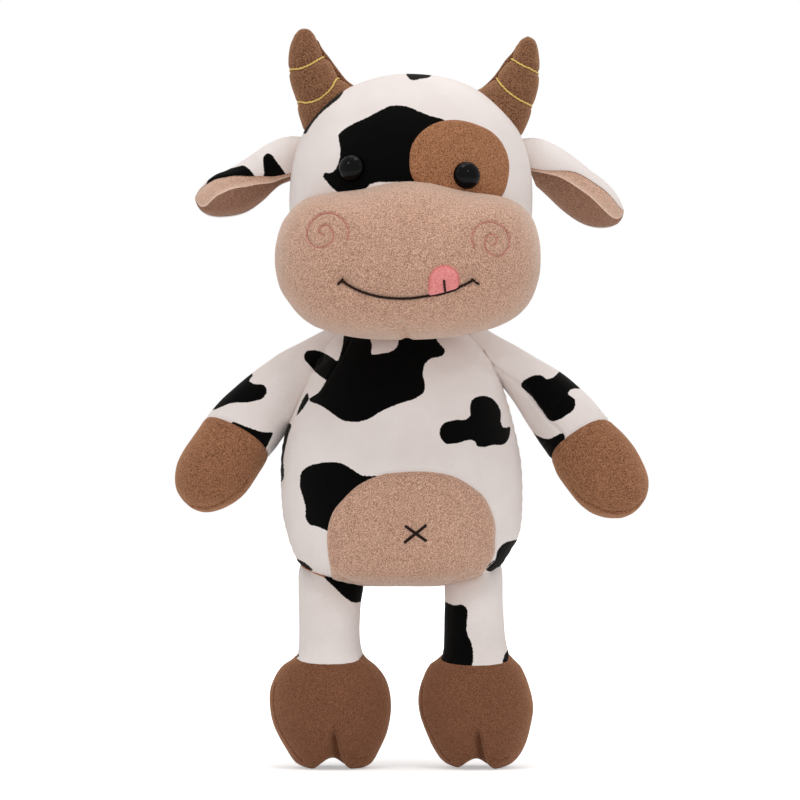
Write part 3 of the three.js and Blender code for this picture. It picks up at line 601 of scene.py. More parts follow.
def stitches(name, tracks, length, gap, radius, lean, lift, flat):
    """Rows of short threads along tracks of (points, facings), as one piece."""
    parts = []
    for points, facings in tracks:
        step = arc_lengths(points)
        count = max(int(step[-1] / (length + gap)), 1)
        pitch = step[-1] / count
        for number in range(count):
            middle = (number + 0.5) * pitch
            before, place, after = (
                read_at(step, points, middle + shift) for shift in (-pitch / 2, 0, pitch / 2)
            )
            out = unit(read_at(step, facings, middle))
            parts.append(stitch(place, after - before, out, length / 2, radius, lean, lift, flat))
    return make_object(name, *merge(parts))


def seen_stitches(name, surface, lines, spacing, kind):
    """Stitches along lines in the photograph."""
    tracks = [seen_on(surface, smooth_line(line, spacing)) for line in lines]
    return stitches(name, tracks, *STITCHES[kind])


def raised_patch(name, base, outline, shown, spacing, kind):
    """A layer of cloth inside an outline, on the vertices of a surface that are shown."""
    height, edge, sink, keep = PATCHES[kind]
    inside = inside_outlines(to_photo(positions(base)), [outline], spacing) * PIXEL
    inside = np.where(shown, inside, OUTSIDE)
    lift = np.clip((inside + edge) / (2 * edge), 0, 1)
    lift = (height + sink) * lift * lift * (3 - 2 * lift) - sink
    facing = normals(base)
    work = open_mesh(base.data)
    work.verts.ensure_lookup_table()
    drop = [face for face in work.faces if max(inside[v.index] for v in face.verts) < keep]
    for vertex in work.verts:
        vertex.co += Vector(facing[vertex.index] * lift[vertex.index])
    bmesh.ops.delete(work, geom=drop, context="FACES")
    patch = link_object(name, close_mesh(name, work))
    apply_modifier(patch, "SOLIDIFY", thickness=PATCH_CLOTH, offset=-1)
    return patch


def cut_off(piece, point, direction, name):
    """Cuts a piece in two at a plane: the far side becomes a new, closed piece."""
    parts = []
    for keep_far in (False, True):
        work = open_mesh(piece.data)
        result = bmesh.ops.bisect_plane(
            work, geom=work.verts[:] + work.edges[:] + work.faces[:], plane_co=Vector(point),
            plane_no=Vector(direction), clear_outer=not keep_far, clear_inner=keep_far,
        )
        rim = [item for item in result["geom_cut"] if isinstance(item, bmesh.types.BMEdge)]
        bmesh.ops.triangle_fill(work, edges=rim, use_beauty=True)
        parts.append(close_mesh(name if keep_far else piece.name, work))
    piece.data = parts[0]
    return link_object(name, parts[1])


# Materials: each is procedural, in the object's own coordinates

def linear(red, green, blue):
    """A colour written as 0 to 255 in the photograph's sRGB."""
    values = []
    for level in (red, green, blue):
        share = level / 255
        values.append(share / 12.92 if share <= 0.04045 else ((share + 0.055) / 1.055) ** 2.4)
    return (*values, 1.0)


class Nodes:
    """Short names for building the node tree of a material or a world."""

    def __init__(self, owner, shader="Principled BSDF", space="Object"):
        owner.use_nodes = True
        self.owner = owner
        self.tree = owner.node_tree
        self.shader = self.tree.nodes[shader]
        self.coordinates = self.add("ShaderNodeTexCoord", {}, space)

    def fill(self, node, inputs):
        """Sets inputs to values, or links other nodes' outputs to them."""
        for socket, value in inputs.items():
            if isinstance(value, bpy.types.NodeSocket):
                self.tree.links.new(value, node.inputs[socket])
            else:
                node.inputs[socket].default_value = value

    def add(self, kind, inputs, output=0, **settings):
        node = self.tree.nodes.new(kind)
        for key, value in settings.items():
            setattr(node, key, value)
        self.fill(node, inputs)
        return node.outputs[output]

    def noise(self, scale, detail=2.0, rough=0.5, distortion=0.0):
        inputs = {"Scale": scale, "Detail": detail, "Roughness": rough, "Distortion": distortion}
        return self.add("ShaderNodeTexNoise", {**inputs, "Vector": self.coordinates}, "Fac")

    def math(self, operation, first, second):
        return self.add("ShaderNodeMath", {0: first, 1: second}, operation=operation)

    def ramp(self, value, low, high, start, end):
        """From low to high as value goes from start to end; colours."""
        node = self.tree.nodes.new("ShaderNodeValToRGB")
        for element, colour, place in zip(node.color_ramp.elements, (low, high), (start, end)):
            element.position = place
            element.color = colour
        self.fill(node, {"Fac": value})
        return node.outputs["Color"]

    def mix(self, share, first, second):
        return self.add("ShaderNodeMix", {0: share, 6: first, 7: second}, 2, data_type="RGBA")

    def attribute(self, name):
        return self.add("ShaderNodeAttribute", {}, "Fac", attribute_name=name)

    def step(self, value, start, end):
        inputs = {"Value": value, "From Min": start, "From Max": end}
        return self.add("ShaderNodeMapRange", inputs, interpolation_type="SMOOTHSTEP")

    def bump(self, height, strength, distance, after=None):
        inputs = {"Height": height, "Strength": strength, "Distance": distance}
        return self.add("ShaderNodeBump", inputs if after is None else {**inputs, "Normal": after})

    def finish(self, colour, normal, roughness, gloss=0.15, sheen=(0.0, 0.5, WHITE)):
        self.fill(self.shader, {
            "Base Color": colour, "Normal": normal, "Roughness": roughness,
            "Specular IOR Level": gloss, "Sheen Weight": sheen[0], "Sheen Roughness": sheen[1],
            "Sheen Tint": sheen[2],
        })
        return self.owner


# Heights of the pile's fibres and tufts, how rough cloth is, and the grain of its plush
FIBRE_HEIGHT = 0.0005
TUFT_HEIGHT = 0.0010
CLOTH_ROUGH = 0.95
PLUSH_GRAIN = 1500.0
PLUSH_TUFT = 420.0


def pile(nodes, fibre, tuft, strength):
    """Bump of short pile: fine fibres over soft tufts."""
    fibres = nodes.bump(nodes.noise(fibre, 3.0, 0.65), strength, FIBRE_HEIGHT)
    return nodes.bump(nodes.noise(tuft, 2.0, 0.5, 0.6), 0.8 * strength, TUFT_HEIGHT, fibres)


def white_plush():
    nodes = Nodes(bpy.data.materials.new("white_plush"))
    cloud = nodes.noise(22.0, 3.0)
    grain = nodes.noise(PLUSH_GRAIN, 2.0, 0.6)
    white = nodes.ramp(cloud, linear(234, 223, 218), linear(243, 234, 230), 0.35, 0.65)
    shade = nodes.ramp(grain, linear(206, 190, 182), linear(255, 250, 248), 0.3, 0.7)
    black = nodes.ramp(grain, linear(1, 1, 1), linear(9, 9, 9), 0.35, 0.85)
    wander = nodes.math("MULTIPLY", nodes.math("SUBTRACT", nodes.noise(900.0), 0.5), 1.1)
    edge = nodes.math("ADD", nodes.attribute("spot"), wander)
    colour = nodes.mix(nodes.step(edge, -0.22, 0.22), nodes.mix(0.12, white, shade), black)
    sheen = (0.05, 0.5, linear(255, 246, 240))
    bump = pile(nodes, PLUSH_GRAIN, PLUSH_TUFT, 0.22)
    return nodes.finish(colour, bump, CLOTH_ROUGH, 0.05, sheen)


def fleece(name, low, high, rim, sheen, grain=1600.0, clump=600.0, strength=0.7, lip=False):
    nodes = Nodes(bpy.data.materials.new(name))
    fine = nodes.ramp(nodes.noise(grain, 2.0, 0.65), low, high, 0.40, 0.60)
    coarse = nodes.ramp(nodes.noise(clump, 2.0, 0.55, 0.5), low, high, 0.32, 0.68)
    broad = nodes.ramp(nodes.noise(24.0, 3.0), low, high, -0.3, 1.3)
    colour = nodes.mix(0.10, nodes.mix(0.88, broad, fine), coarse)
    # Painted highlight: where the lip value is high, the colour goes over to the rim colour
    if lip:
        colour = nodes.mix(nodes.attribute("lip"), colour, rim)
    bump = pile(nodes, grain, clump, strength)
    return nodes.finish(colour, bump, CLOTH_ROUGH, sheen=(sheen, 0.45, rim))


def thread(name, low, high, rough=0.7):
    nodes = Nodes(bpy.data.materials.new(name))
    fibre = nodes.noise(2600.0, 2.0, 0.6, 0.6)
    colour = nodes.ramp(fibre, low, high, 0.3, 0.7)
    return nodes.finish(colour, nodes.bump(fibre, 0.5, 0.0002), rough, sheen=(0.3, 0.4, high))


def moulded(name, low, high, rough):
    nodes = Nodes(bpy.data.materials.new(name))
    colour = nodes.ramp(nodes.noise(40.0), low, high, 0.3, 0.7)
    return nodes.finish(colour, nodes.bump(nodes.noise(800.0), 0.03, 0.0001), rough, 0.1)


# Darkest and lightest colour, the glow of a fleece's rim, and what else each maker takes
FLEECES = {
    "tan_fleece": ((146, 103, 80), (240, 196, 171), (255, 238, 224), {"sheen": 1.0}),
    "brown_fleece": ((106, 63, 37), (198, 140, 102), (236, 186, 150), {"sheen": 0.5}),
    "horn_fleece": ((64, 37, 23), (166, 117, 86), (236, 184, 144), {"sheen": 0.8}),
    "hoof_plush": ((94, 58, 38), (148, 100, 74), (232, 176, 138), {"sheen": 0.8}),
    "hand_plush": ((88, 51, 30), (188, 133, 98), (236, 184, 146), {"sheen": 0.7}),
    # The ear's rim colour is also painted into its cloth as a highlight, through the lip value
    "ear_fleece": ((150, 108, 86), (226, 182, 156), (255, 224, 204), {"sheen": 1.0, "lip": True}),
    "filling_fibre": ((226, 224, 220), (250, 249, 246), (255, 255, 255),
                      {"sheen": 0.2, "grain": 500.0, "clump": 160.0}),
    "tongue_felt": ((222, 116, 116), (255, 172, 168), (255, 206, 200),
                    {"sheen": 0.3, "grain": 1800.0, "clump": 800.0, "strength": 0.4}),
}
THREADS = {
    "dark_thread": ((16, 8, 6), (44, 24, 18), {}),
    "pink_thread": ((204, 108, 102), (250, 168, 160), {}),
    # Painted warm bounce light, as the thread along a leg's join to the body
    "rust_thread": ((150, 84, 52), (206, 132, 92), {}),
    "gold_thread": ((196, 152, 62), (255, 228, 140), {"rough": 0.4}),
}
MOULDINGS = {
    "eye_plastic": ((2, 2, 2), (6, 6, 6), {"rough": 0.05}),
    "washer_plastic": ((208, 208, 206), (226, 226, 224), {"rough": 0.45}),
}
MATERIALS = {"white_plush": white_plush()}
for make, table in ((fleece, FLEECES), (thread, THREADS), (moulded, MOULDINGS)):
    for name, (*colours, settings) in table.items():
        MATERIALS[name] = make(name, *[linear(*colour) for colour in colours], **settings)


def dress(piece, material, body=None, replaces=(), bend=None):
    """Gives a piece its material and ties it to its body, or with a bend bakes its place into it.
    """
    piece.data.materials.clear()
    piece.data.materials.append(MATERIALS[material])
    if bend:
        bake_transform(piece)
    else:
        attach(piece, body)
    if replaces:
        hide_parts(*replaces)


# Outlines that were read from the photograph

HEAD_SPOTS = [
    [(338, 136), (343, 130), (353, 124), (368, 117), (381, 110), (390, 106), (399, 105.5),
     (409, 107), (418, 111), (431, 116), (446, 121), (446, 150), (436, 176), (424, 186),
     (412, 184), (399, 182), (388, 182), (374, 183), (369, 185), (367, 188), (359, 191),
     (348, 192), (337.5, 192), (333, 188.5), (327, 182), (323, 176), (324, 173), (331, 173),
     (336, 169), (338, 164.5), (340, 156), (340, 147), (339, 140.5)],
    [(404, 68), (432, 68), (431, 76), (420, 79), (411, 80), (407, 76)],
    [(344, 90), (341, 96), (332, 104), (323, 111.5), (315, 120), (308.5, 129.5), (306, 134),
     (298, 124), (318, 100), (336, 86)],
]
BODY_SPOTS = [
    [(347, 330), (358, 335), (369, 338), (372, 345), (371.5, 354), (382, 353.5), (392, 351),
     (397, 347), (399, 338), (433, 334), (439, 343), (445, 351), (443, 355), (430, 359),
     (425, 364), (423, 375), (425, 385), (424, 392), (416, 398), (401, 403), (382, 411),
     (366, 420), (353, 422), (342, 420), (333, 414), (321.5, 406), (309, 400), (319, 392),
     (326.5, 380), (338, 361), (342, 348)],
    [(300, 479), (301, 473), (307, 467), (318, 463.5), (331, 462), (342, 463.5), (353, 470),
     (361, 475), (380, 477.5), (372, 492), (350, 520), (334, 532), (317, 526.5), (309, 524),
     (306, 519), (305.5, 506.5), (303, 497), (300, 487)],
    [(291, 424), (288, 436), (283.5, 458), (281.5, 482), (274, 486), (272, 440), (280, 424)],
    [(293, 557), (299, 559.5), (306, 563.5), (313, 570.5), (305, 569), (296, 564)],
    [(348, 366), (337, 361), (328, 355), (313.5, 350), (307, 351), (304, 356), (310, 366),
     (326.5, 380), (344, 384)],
    [(307.5, 393), (309, 399), (306, 404), (301, 411), (296.5, 416), (299, 408), (303, 399)],
    [(440, 429), (443, 424), (455, 420), (467, 419), (470, 416), (470, 408), (472, 400),
     (480, 396), (489.5, 397), (498, 405), (501, 413), (501, 423), (504, 428), (510, 426.5),
     (510, 433), (508, 440), (504.5, 444), (493, 445), (483, 447), (477, 446), (475, 441),
     (470, 440), (458, 443), (445, 443), (440, 436)],
    [(526, 538), (515, 540), (503, 544), (497.5, 551), (495, 560), (486, 570), (500, 572),
     (520, 570)],
]
ARM_SPOTS = {
    "right": [
        [(348, 366), (337, 361), (328, 355), (313.5, 350), (307, 351), (304, 356), (310, 366),
         (326, 379), (344, 384)],
        [(212, 410), (232, 403), (250, 402), (264, 397), (267, 391), (264, 385), (254.5, 384),
         (249, 381), (253, 375), (248, 370), (228, 386)],
        [(232, 422), (250, 428), (262.5, 432), (273, 433), (270, 440), (264, 450), (256, 452),
         (246, 444)],
    ],
    "left": [
        [(521, 385), (538, 375), (543, 376), (546, 379), (552, 378), (561, 371), (571, 374),
         (582, 388), (570, 390), (568, 393), (575, 400), (574, 409), (567, 415), (551, 421),
         (541, 409), (531, 396)],
        [(530, 431), (540, 437), (548, 439), (556, 436), (563, 433), (565, 438), (560, 446),
         (554, 458), (548, 466), (538, 452)],
    ],
}
LEG_SPOTS = {
    "right": [
        [(288, 554), (305, 561), (312, 569), (303, 567), (290, 563)],
        [(322, 574), (337, 579), (353, 583), (370, 584), (370, 596), (362, 601), (355, 603),
         (347, 599), (335, 588)],
        [(291, 648.5), (296.5, 650.5), (299, 656), (293, 658)],
    ],
    "left": [
        [(440, 600), (446, 602), (453, 605), (464, 605.5), (467, 609), (467, 620), (467, 633),
         (471, 642), (473, 651), (470, 668), (456, 668), (438, 664)],
        [(503, 664), (505, 654), (512, 646), (516, 662)],
    ],
}

# The same behind, as (x, z) in mm; no photograph shows these, so they are made up
HEAD_BACK_SPOTS = [
    [(-34, 400), (-8, 408), (4, 398), (20, 392), (28, 374), (12, 360), (-6, 362), (-16, 350),
     (-38, 352), (-46, 372), (-38, 386)],
    [(30, 336), (48, 344), (62, 334), (58, 314), (44, 306), (30, 316)],
    [(-66, 322), (-50, 328), (-36, 318), (-33, 302), (-46, 290), (-60, 294), (-69, 306)],
    [(-2, 420), (14, 422), (14, 412), (2, 411)],
]
BODY_BACK_SPOTS = [
    [(-80, 168), (-68, 170), (-56, 186), (-36, 190), (-30, 204), (-44, 216), (-62, 212),
     (-80, 206)],
    [(20, 232), (40, 236), (52, 224), (48, 208), (34, 204), (18, 212), (8, 224)],
    [(12, 172), (30, 176), (46, 166), (44, 146), (28, 138), (10, 146), (-2, 158)],
    [(50, 118), (66, 122), (76, 140), (62, 146), (50, 134)],
    [(-50, 136), (-34, 142), (-24, 130), (-34, 118), (-50, 120)],
]
ARM_BACK_SPOTS = {
    "right": [[(-84, 250), (-70, 246), (-66, 232), (-78, 222), (-92, 228), (-96, 240)]],
    "left": [[(66, 238), (80, 246), (92, 236), (88, 220), (72, 218), (64, 226)]],
}
LEG_BACK_SPOTS = {
    "right": [[(-60, 106), (-46, 110), (-36, 100), (-42, 84), (-58, 88)]],
    "left": [[(20, 100), (32, 104), (42, 94), (38, 76), (22, 66), (16, 80)],
             [(44, 112), (58, 114), (62, 100), (50, 96)]],
}

# The front edge of the cow's right arm, which is sewn to the chest
SHOULDER_SEAM = [
    (349, 341), (345, 350), (338, 361), (332, 371), (326.5, 380), (319, 392), (309, 401),
]
# Closing seams where the limbs meet the body, each with its thread
# The threads' colours paint the warm bounce light and the crease shade along those joins
CLOSING_SEAMS_AND_SHADE = [
    ("rust_thread", [(302, 565.5), (308, 569.5), (316, 573.5), (325, 577)]),
    ("dark_thread", [(446, 580.5), (457, 579), (467, 576), (477, 571.5), (486, 567), (494, 560.5)]),
]

MUZZLE_OUTLINE = [
    (295, 207), (301, 201), (312, 196), (325, 193.5), (344, 193), (359, 192), (374, 187),
    (390, 183), (409, 181), (423, 182), (436, 185), (447, 189.5), (460, 194.5), (473, 196.5),
    (488, 196), (501, 197), (514, 201.5), (524, 208), (534, 222), (538.5, 239), (540, 256),
    (540, 268), (538.5, 280), (535, 291), (529.5, 302), (519.5, 313), (500, 325), (474, 333),
    (446, 337.5), (418, 339.6), (390, 339.6), (359, 337.5), (331, 332.5), (312, 325),
    (298, 313), (289, 301), (281, 289), (277.5, 277), (275.5, 263), (275.5, 250),
    (278, 234), (284.5, 218),
]
EYE_PATCH_OUTLINE = [
    (410, 156), (412, 146), (418, 136), (430, 126), (444, 121), (459, 120.5), (477, 125),
    (494, 134), (505, 149), (509, 165), (508, 178), (504, 192), (494, 204), (470, 206),
    (444, 200), (424, 190), (413, 178),
]
BELLY_OUTLINE = [
    (376, 477), (388, 474), (400, 473), (417, 472), (430, 472.6), (441, 474), (458, 479),
    (471, 487), (483, 497), (491, 512), (495, 527), (494.5, 540), (494, 554), (487, 567),
    (478, 580), (470, 620), (345, 620), (334, 590), (331, 570), (328, 551), (328, 530),
    (334, 511), (344, 499), (358, 486),
]
SMILE = [
    (342.5, 281), (350, 286.3), (363, 292.3), (377, 296.3), (391, 298.2), (406, 298.6),
    (420, 297.2), (429, 295.8), (438, 294.6), (446, 292.6), (455, 289.8), (460, 287),
    (467, 283.6), (473, 280),
]
SMILE_TICKS = [
    [(337.5, 284.3), (340.5, 282), (343, 279)],
    [(471.5, 278.5), (474.5, 281.5), (479.5, 284.8)],
]
TONGUE_STITCH = [(443.9, 279.8), (444.4, 285), (445.1, 291.5)]
TONGUE_OUTLINE = [
    (429.2, 294.2), (429.3, 289), (430.7, 275.5), (434.3, 270.2), (441, 266.4), (446.8, 265.9),
    (452.6, 268.4), (457, 272.9), (458.8, 279.1), (458.6, 284), (457.4, 287.2), (450, 290.2),
    (440, 292.9),
]
NOSTRILS = {
    "right": [
        (347, 240), (348.3, 230), (341, 218), (330, 213), (318, 216), (308.5, 226), (307, 235),
        (310.5, 243), (318, 247.5), (327, 245.5), (332.5, 239), (332, 230), (326.5, 225),
        (320.5, 227), (319.5, 232.5), (324, 235.5),
    ],
    "left": [
        (474.5, 248), (471.8, 239), (476, 228), (486, 222), (497, 223.5), (506, 230),
        (509, 239), (507, 249), (498.5, 256), (490, 253.5), (485, 246), (486, 238),
        (491, 234), (496, 237.5), (496, 243), (492, 245.5),
    ],
}
NAVEL = [[(405.3, 526), (426.2, 541)], [(426.2, 525.3), (404.3, 542.6)]]
EYES = {"right": (352, 168.2, 0.98), "left": (466.6, 175.4, 0.99)}
# Each limb's end seam: the pixels of its two ends, and of its front
WRISTS = {
    "right": ((206.5, 420.5), (269, 457.5), (242, 427)),
    "left": ((610, 421.5), (550.5, 460), (573, 431)),
}
ANKLES = {
    "right": ((296.5, 653), (366, 653), (331, 662)),
    "left": ((441.5, 654), (511.5, 654), (477, 663)),
}

# Rows of an arm: (column, row) of its upper edge, the same of its lower edge, depth in mm
ARM_ROWS = {
    "right": [
        ((352, 322), (352, 322), 0), ((336, 321), (357, 334), 9), ((325, 329), (350, 349), 13),
        ((313, 335), (340, 364), 16), ((299, 342.5), (328, 378), 18),
        ((282, 351.5), (316, 390), 18.5), ((266, 362), (307, 402), 19),
        ((249.5, 373.5), (298.5, 416), 19), ((233.5, 387), (288.5, 431.5), 19.5),
        ((217.5, 403), (279, 445.5), 20), ((204, 419), (269, 457.5), 20.5),
        ((194, 434), (264.5, 466.5), 22), ((184, 448), (259, 475.5), 23),
        ((177, 461), (254, 484), 23.5), ((174.5, 475), (246.5, 494), 22.5),
        ((176.5, 488.5), (235, 503), 20), ((184, 500.5), (220, 509.5), 13),
        ((200, 511), (200, 511), 0),
    ],
    "left": [
        ((460, 322), (460, 322), 0), ((477, 321), (456, 334), 9), ((489, 330), (463, 350), 13),
        ((503, 338), (474, 360), 16), ((518, 346), (486, 371), 18),
        ((533, 354.5), (497.5, 381), 18.5), ((549, 364), (508.5, 394.5), 19),
        ((563, 373), (518.5, 410), 19), ((577.5, 385), (529.5, 428), 19.5),
        ((594, 400.5), (540, 445), 20), ((611.5, 421), (550.5, 460), 20.5),
        ((623.5, 432.5), (555.5, 473.5), 22), ((634.5, 447), (561.5, 482.5), 23),
        ((642.5, 461.5), (568, 491.5), 23.5), ((648.5, 477), (578.5, 504.5), 22.5),
        ((648, 491.5), (592, 514), 20), ((639.5, 506), (611, 518), 13),
        ((627, 515.5), (627, 515.5), 0),
    ],
}
# Rows of a leg: row, left and right column, depth, and how far it is set back, in mm
LEG_ROWS = {
    "right": level_rows([
        (552, 331, 331, 0, 20), (555, 314, 346, 10, 19), (561, 301.5, 359, 14, 17),
        (571, 297.5, 364.5, 16.5, 13), (585, 297.5, 365, 18.5, 8), (602, 297.5, 362.5, 19.5, 3),
        (620, 298, 361, 19.7, 0), (640, 298, 361, 19.7, 0), (655, 296.5, 364, 20.2, 0),
        (663, 283.5, 374.5, 22, 0), (675, 275, 384, 24.5, 0), (691, 270, 389.5, 27, 0),
        (708, 270.8, 391, 27.8, 0), (723, 273.5, 389, 27.6, 0), (738, 280, 385, 26.6, 0),
        (751.5, 288, 379, 25, 0), (761, 294, 373.5, 22.5, 0), (766.4, 302, 367, 19, 0),
        (768, 315, 354, 12, 0), (768, 334, 334, 0, 0),
    ]),
    "left": level_rows([
        (552, 476, 476, 0, 20), (555, 461, 491, 10, 19), (561, 449, 500, 14, 17),
        (571, 444, 503, 16.5, 13), (585, 443.5, 503.5, 18.5, 8), (602, 444, 503.5, 19.5, 3),
        (620, 443.5, 505, 19.7, 0), (640, 443, 506.5, 19.7, 0), (655.5, 441.5, 510, 20.2, 0),
        (663, 430.5, 519.5, 22, 0), (676, 423.5, 526.5, 24.5, 0), (692, 419, 531, 27, 0),
        (708, 419, 533.5, 27.8, 0), (723, 422.5, 531, 27.6, 0), (738, 428.5, 527, 26.6, 0),
        (752, 436.5, 520.5, 25, 0), (761, 443.5, 513.5, 22.5, 0), (766.4, 453, 504.5, 19, 0),
        (768, 462, 493, 12, 0), (768, 477, 477, 0, 0),
    ]),
}
HOOF_CLEFT = {"right": (332.5, 725, 753), "left": (475.5, 725, 754)}
# Seams on the limbs, each with its depth and width in mm
LIMB_SEAMS = {
    "arm": {
        "right": [([(183, 500), (187, 504), (195, 507), (205, 508), (216, 505.5), (226, 500.5),
                    (235, 494), (244, 486), (249, 479)], 1.7, 1.1)],
        "left": [([(571, 487), (575.5, 493.5), (582, 499.5), (589, 504), (603.5, 510),
                   (618.5, 512.5), (633, 509.5), (643, 501)], 1.7, 1.1),
                 ([(483, 352), (487, 360), (503, 373), (521, 385), (533, 400), (549, 420),
                   (560, 431), (566, 440)], 1.6, 1.1)],
    },
    "leg": {
        "right": [([(275, 684), (273.5, 698), (274.5, 712), (279, 727), (286.5, 741), (294.5, 753),
                    (302, 761)], 0.9, 0.9),
                  ([(349, 757), (356, 759), (365, 757)], 1.1, 0.9)],
        "left": [([(423, 684), (421.5, 698), (422.5, 712), (427.5, 727), (434.5, 741), (442, 753),
                   (449.5, 761)], 0.9, 0.9),
                 ([(492, 758), (499, 760), (507, 758)], 1.1, 0.9)],
    },
}
HORN_ROWS = {
    "right": [
        ((350, 136), (350, 136), 0), ((326, 146), (366, 112), 14), ((305, 132), (351.5, 87), 17.5),
        ((299, 116), (343, 80), 16.2), ((295.5, 99), (337.5, 75.5), 14.6),
        ((291, 86), (331.5, 63), 13.6), ((288.5, 70), (323.5, 55.5), 11.8),
        ((288.5, 57), (320.5, 47), 10.4), ((291, 44), (316.5, 38), 8.4),
        ((295.5, 35), (312, 31.5), 5.6), ((299.5, 30.5), (307, 29), 2.8),
        ((303, 28.5), (303, 28.5), 0),
    ],
    "left": [
        ((472, 140), (472, 140), 0), ((458, 116), (496, 150), 14),
        ((472, 92.5), (520.5, 137), 17.5), ((484, 86), (529.5, 119), 16.2),
        ((495, 77.5), (534, 103.5), 14.6), ((501.5, 68), (538.5, 88), 13.6),
        ((510, 58), (539.5, 71), 11.8), ((514, 50), (539.3, 57.5), 10.4),
        ((517.5, 42.5), (537.5, 46), 8.4), ((521.5, 38.2), (534.5, 39.5), 5.6),
        ((525, 36.5), (531, 36.8), 2.8), ((528, 36.3), (528, 36.3), 0),
    ],
}
HORN_BANDS = {
    "right": [[(298.8, 101.9), (304.4, 102.8), (310.9, 102), (317.5, 99.5), (325, 94.3),
               (331.6, 87.5), (336.6, 79.1)],
              [(291.6, 69.1), (298.8, 68.6), (306.3, 66), (313.8, 61.9), (321.6, 57.5)]],
    "left": [[(496.1, 77.9), (499.8, 83), (506.7, 90), (514.5, 96.3), (522.2, 101), (530.8, 104.9)],
             [(511.9, 58.9), (518.8, 63), (525.6, 66.5), (532.5, 69.4), (538.5, 72.8)]],
}
# The free edge of each horn's seam, on its inner side
HORN_SEAMS = {
    "right": [(317.5, 39), (322, 48), (328.6, 56.6), (335.9, 66.5), (341.5, 74), (347, 80.5),
              (356, 87)],
    "left": [(518, 43), (513, 51.6), (505.5, 60), (498, 71), (491.5, 79), (484, 86), (474.5, 93)],
}
# Ear stations from the head out: top, edge of the white cloth, front lip, bottom; fold in mm
EAR_ROWS = {
    "left": [
        ((516, 137), (529, 167.5), (531, 170.5), (536, 186), 2),
        ((535, 138), (549, 168.8), (549, 172), (545, 193.5), 7),
        ((554, 144.5), (563, 170.8), (565, 177), (562, 209.5), 11),
        ((574, 156.5), (578, 173.5), (582, 188.5), (580, 222), 13),
        ((592, 171), (596, 183), (596, 201.5), (595, 226.8), 12.5),
        ((605.5, 181.5), (607, 192.5), (604.5, 213.5), (606, 227), 10.5),
        ((614.3, 190.5), (615, 201.5), (612.5, 219), (614, 225), 8),
        ((619.8, 198.5), (620, 208), (618.8, 218.5), (619.5, 221.5), 5.5),
        ((622.8, 205), (623, 210.5), (622.3, 215), (622.7, 216.5), 3),
        ((623.8, 210), (623.8, 210.8), (623.8, 211.4), (623.8, 211.8), 1),
    ],
    "right": [
        ((308, 135.5), (296, 172.5), (295, 175.5), (293, 180), 2),
        ((289, 136.3), (285, 176), (285.5, 181), (280, 184.8), 7),
        ((269, 143.5), (265, 177), (266, 185), (262, 201), 11),
        ((247, 157.5), (243, 177), (244, 187.8), (245, 212), 13),
        ((228, 169.3), (227, 177.5), (227, 191.8), (228, 215.8), 12.5),
        ((214, 174.8), (213, 180.5), (216, 200), (213.5, 215.8), 10.5),
        ((205, 181.5), (204.5, 186), (207.5, 207), (205.5, 213.2), 8),
        ((199, 187.5), (199, 190.5), (200, 206), (199.5, 208.5), 5.5),
        ((196.2, 192.5), (196.2, 194.5), (196.4, 202), (196.4, 203.5), 3),
        ((195, 196.8), (195, 197.4), (195, 198), (195, 198.4), 1),
    ],
}
# Thickness of one panel of an ear, in mm
EAR_CLOTH = 2.1
EAR_SPOTS = {"left": [], "right": [
    [(206, 186), (209, 178), (216, 172), (232, 168), (238, 166.5), (243, 165.5), (249, 169),
     (255, 178), (240, 182), (225, 183)],
    [(262, 180), (264, 174), (263, 163), (264, 156), (268, 153), (272, 155), (275.5, 160),
     (283, 170), (287, 178), (274, 182)],
]}

# Forms that are rows of numbers: the body as (row, left column, right column, front and back in
# mm), the head as (height over its pivot, half width, front, back in mm)
TORSO_ROWS = [
    (584, 404, 404, 0, 0), (583.5, 378, 430, 19, 22), (582, 350, 452, 31, 34),
    (578.5, 329, 473, 40, 42), (574, 314.5, 488, 46.5, 47.5), (568, 305, 498, 51, 51.5),
    (559, 297.5, 504.5, 54, 54.5), (548, 292.5, 511, 55.5, 56), (535, 288, 518.5, 56.5, 57),
    (518, 284, 521.5, 57, 57), (500, 281.8, 522.5, 57, 57), (482, 280.8, 522.5, 56.5, 57),
    (464, 280.8, 521.5, 55.5, 56.5), (446, 282.5, 518, 54, 56), (430, 286.5, 514, 52.5, 55),
    (414, 292.5, 510.5, 51, 54), (398, 298.5, 506, 49.5, 52.5), (382, 304, 501, 47.5, 50.5),
    (366, 311, 494.5, 45, 48), (350, 320, 485, 41.5, 44), (337, 333, 472, 36.5, 38.5),
    (325, 351, 455, 29, 30), (317, 374, 434, 17, 17), (313.7, 404, 404, 0, 0),
]
HEAD_ROWS = [
    (34, 0, 0, 0), (34.5, 20, 17, 17), (38, 34, 30, 30), (46, 46, 42, 41), (58, 57, 52, 51),
    (74, 65.5, 59, 57.5), (92, 70.5, 63.5, 61.5), (110, 73, 66, 63.5), (126, 73, 66, 64),
    (142, 71, 64, 62.5), (156.4, 66.5, 60, 59.5), (168.8, 59.5, 54, 54.5),
    (179.1, 49.5, 46, 46.5), (187.2, 37, 35, 35.5), (192.2, 24, 23, 23.5),
    (194.7, 11, 11, 11), (195.2, 0, 0, 0),
]
# How far the head's middle moves forward, and over which height, in mm
HEAD_FORWARD = -6.0
HEAD_FORWARD_RISE = 60
# The muzzle's outline at each depth in mm, as a share of the traced one, which is at the widest
MUZZLE_RINGS = [
    (6, 0.0), (6, 0.5), (5, 0.74), (-6, 0.88), (-20, 0.965), (-36, 1.0), (-50, 0.985),
    (-63, 0.93), (-73, 0.835), (-80, 0.71), (-85, 0.53), (-87.6, 0.32), (-88.6, 0.0),
]
MUZZLE_WIDEST = -0.036
MUZZLE_SPACING = 4
MUZZLE_DEPTHS = 70
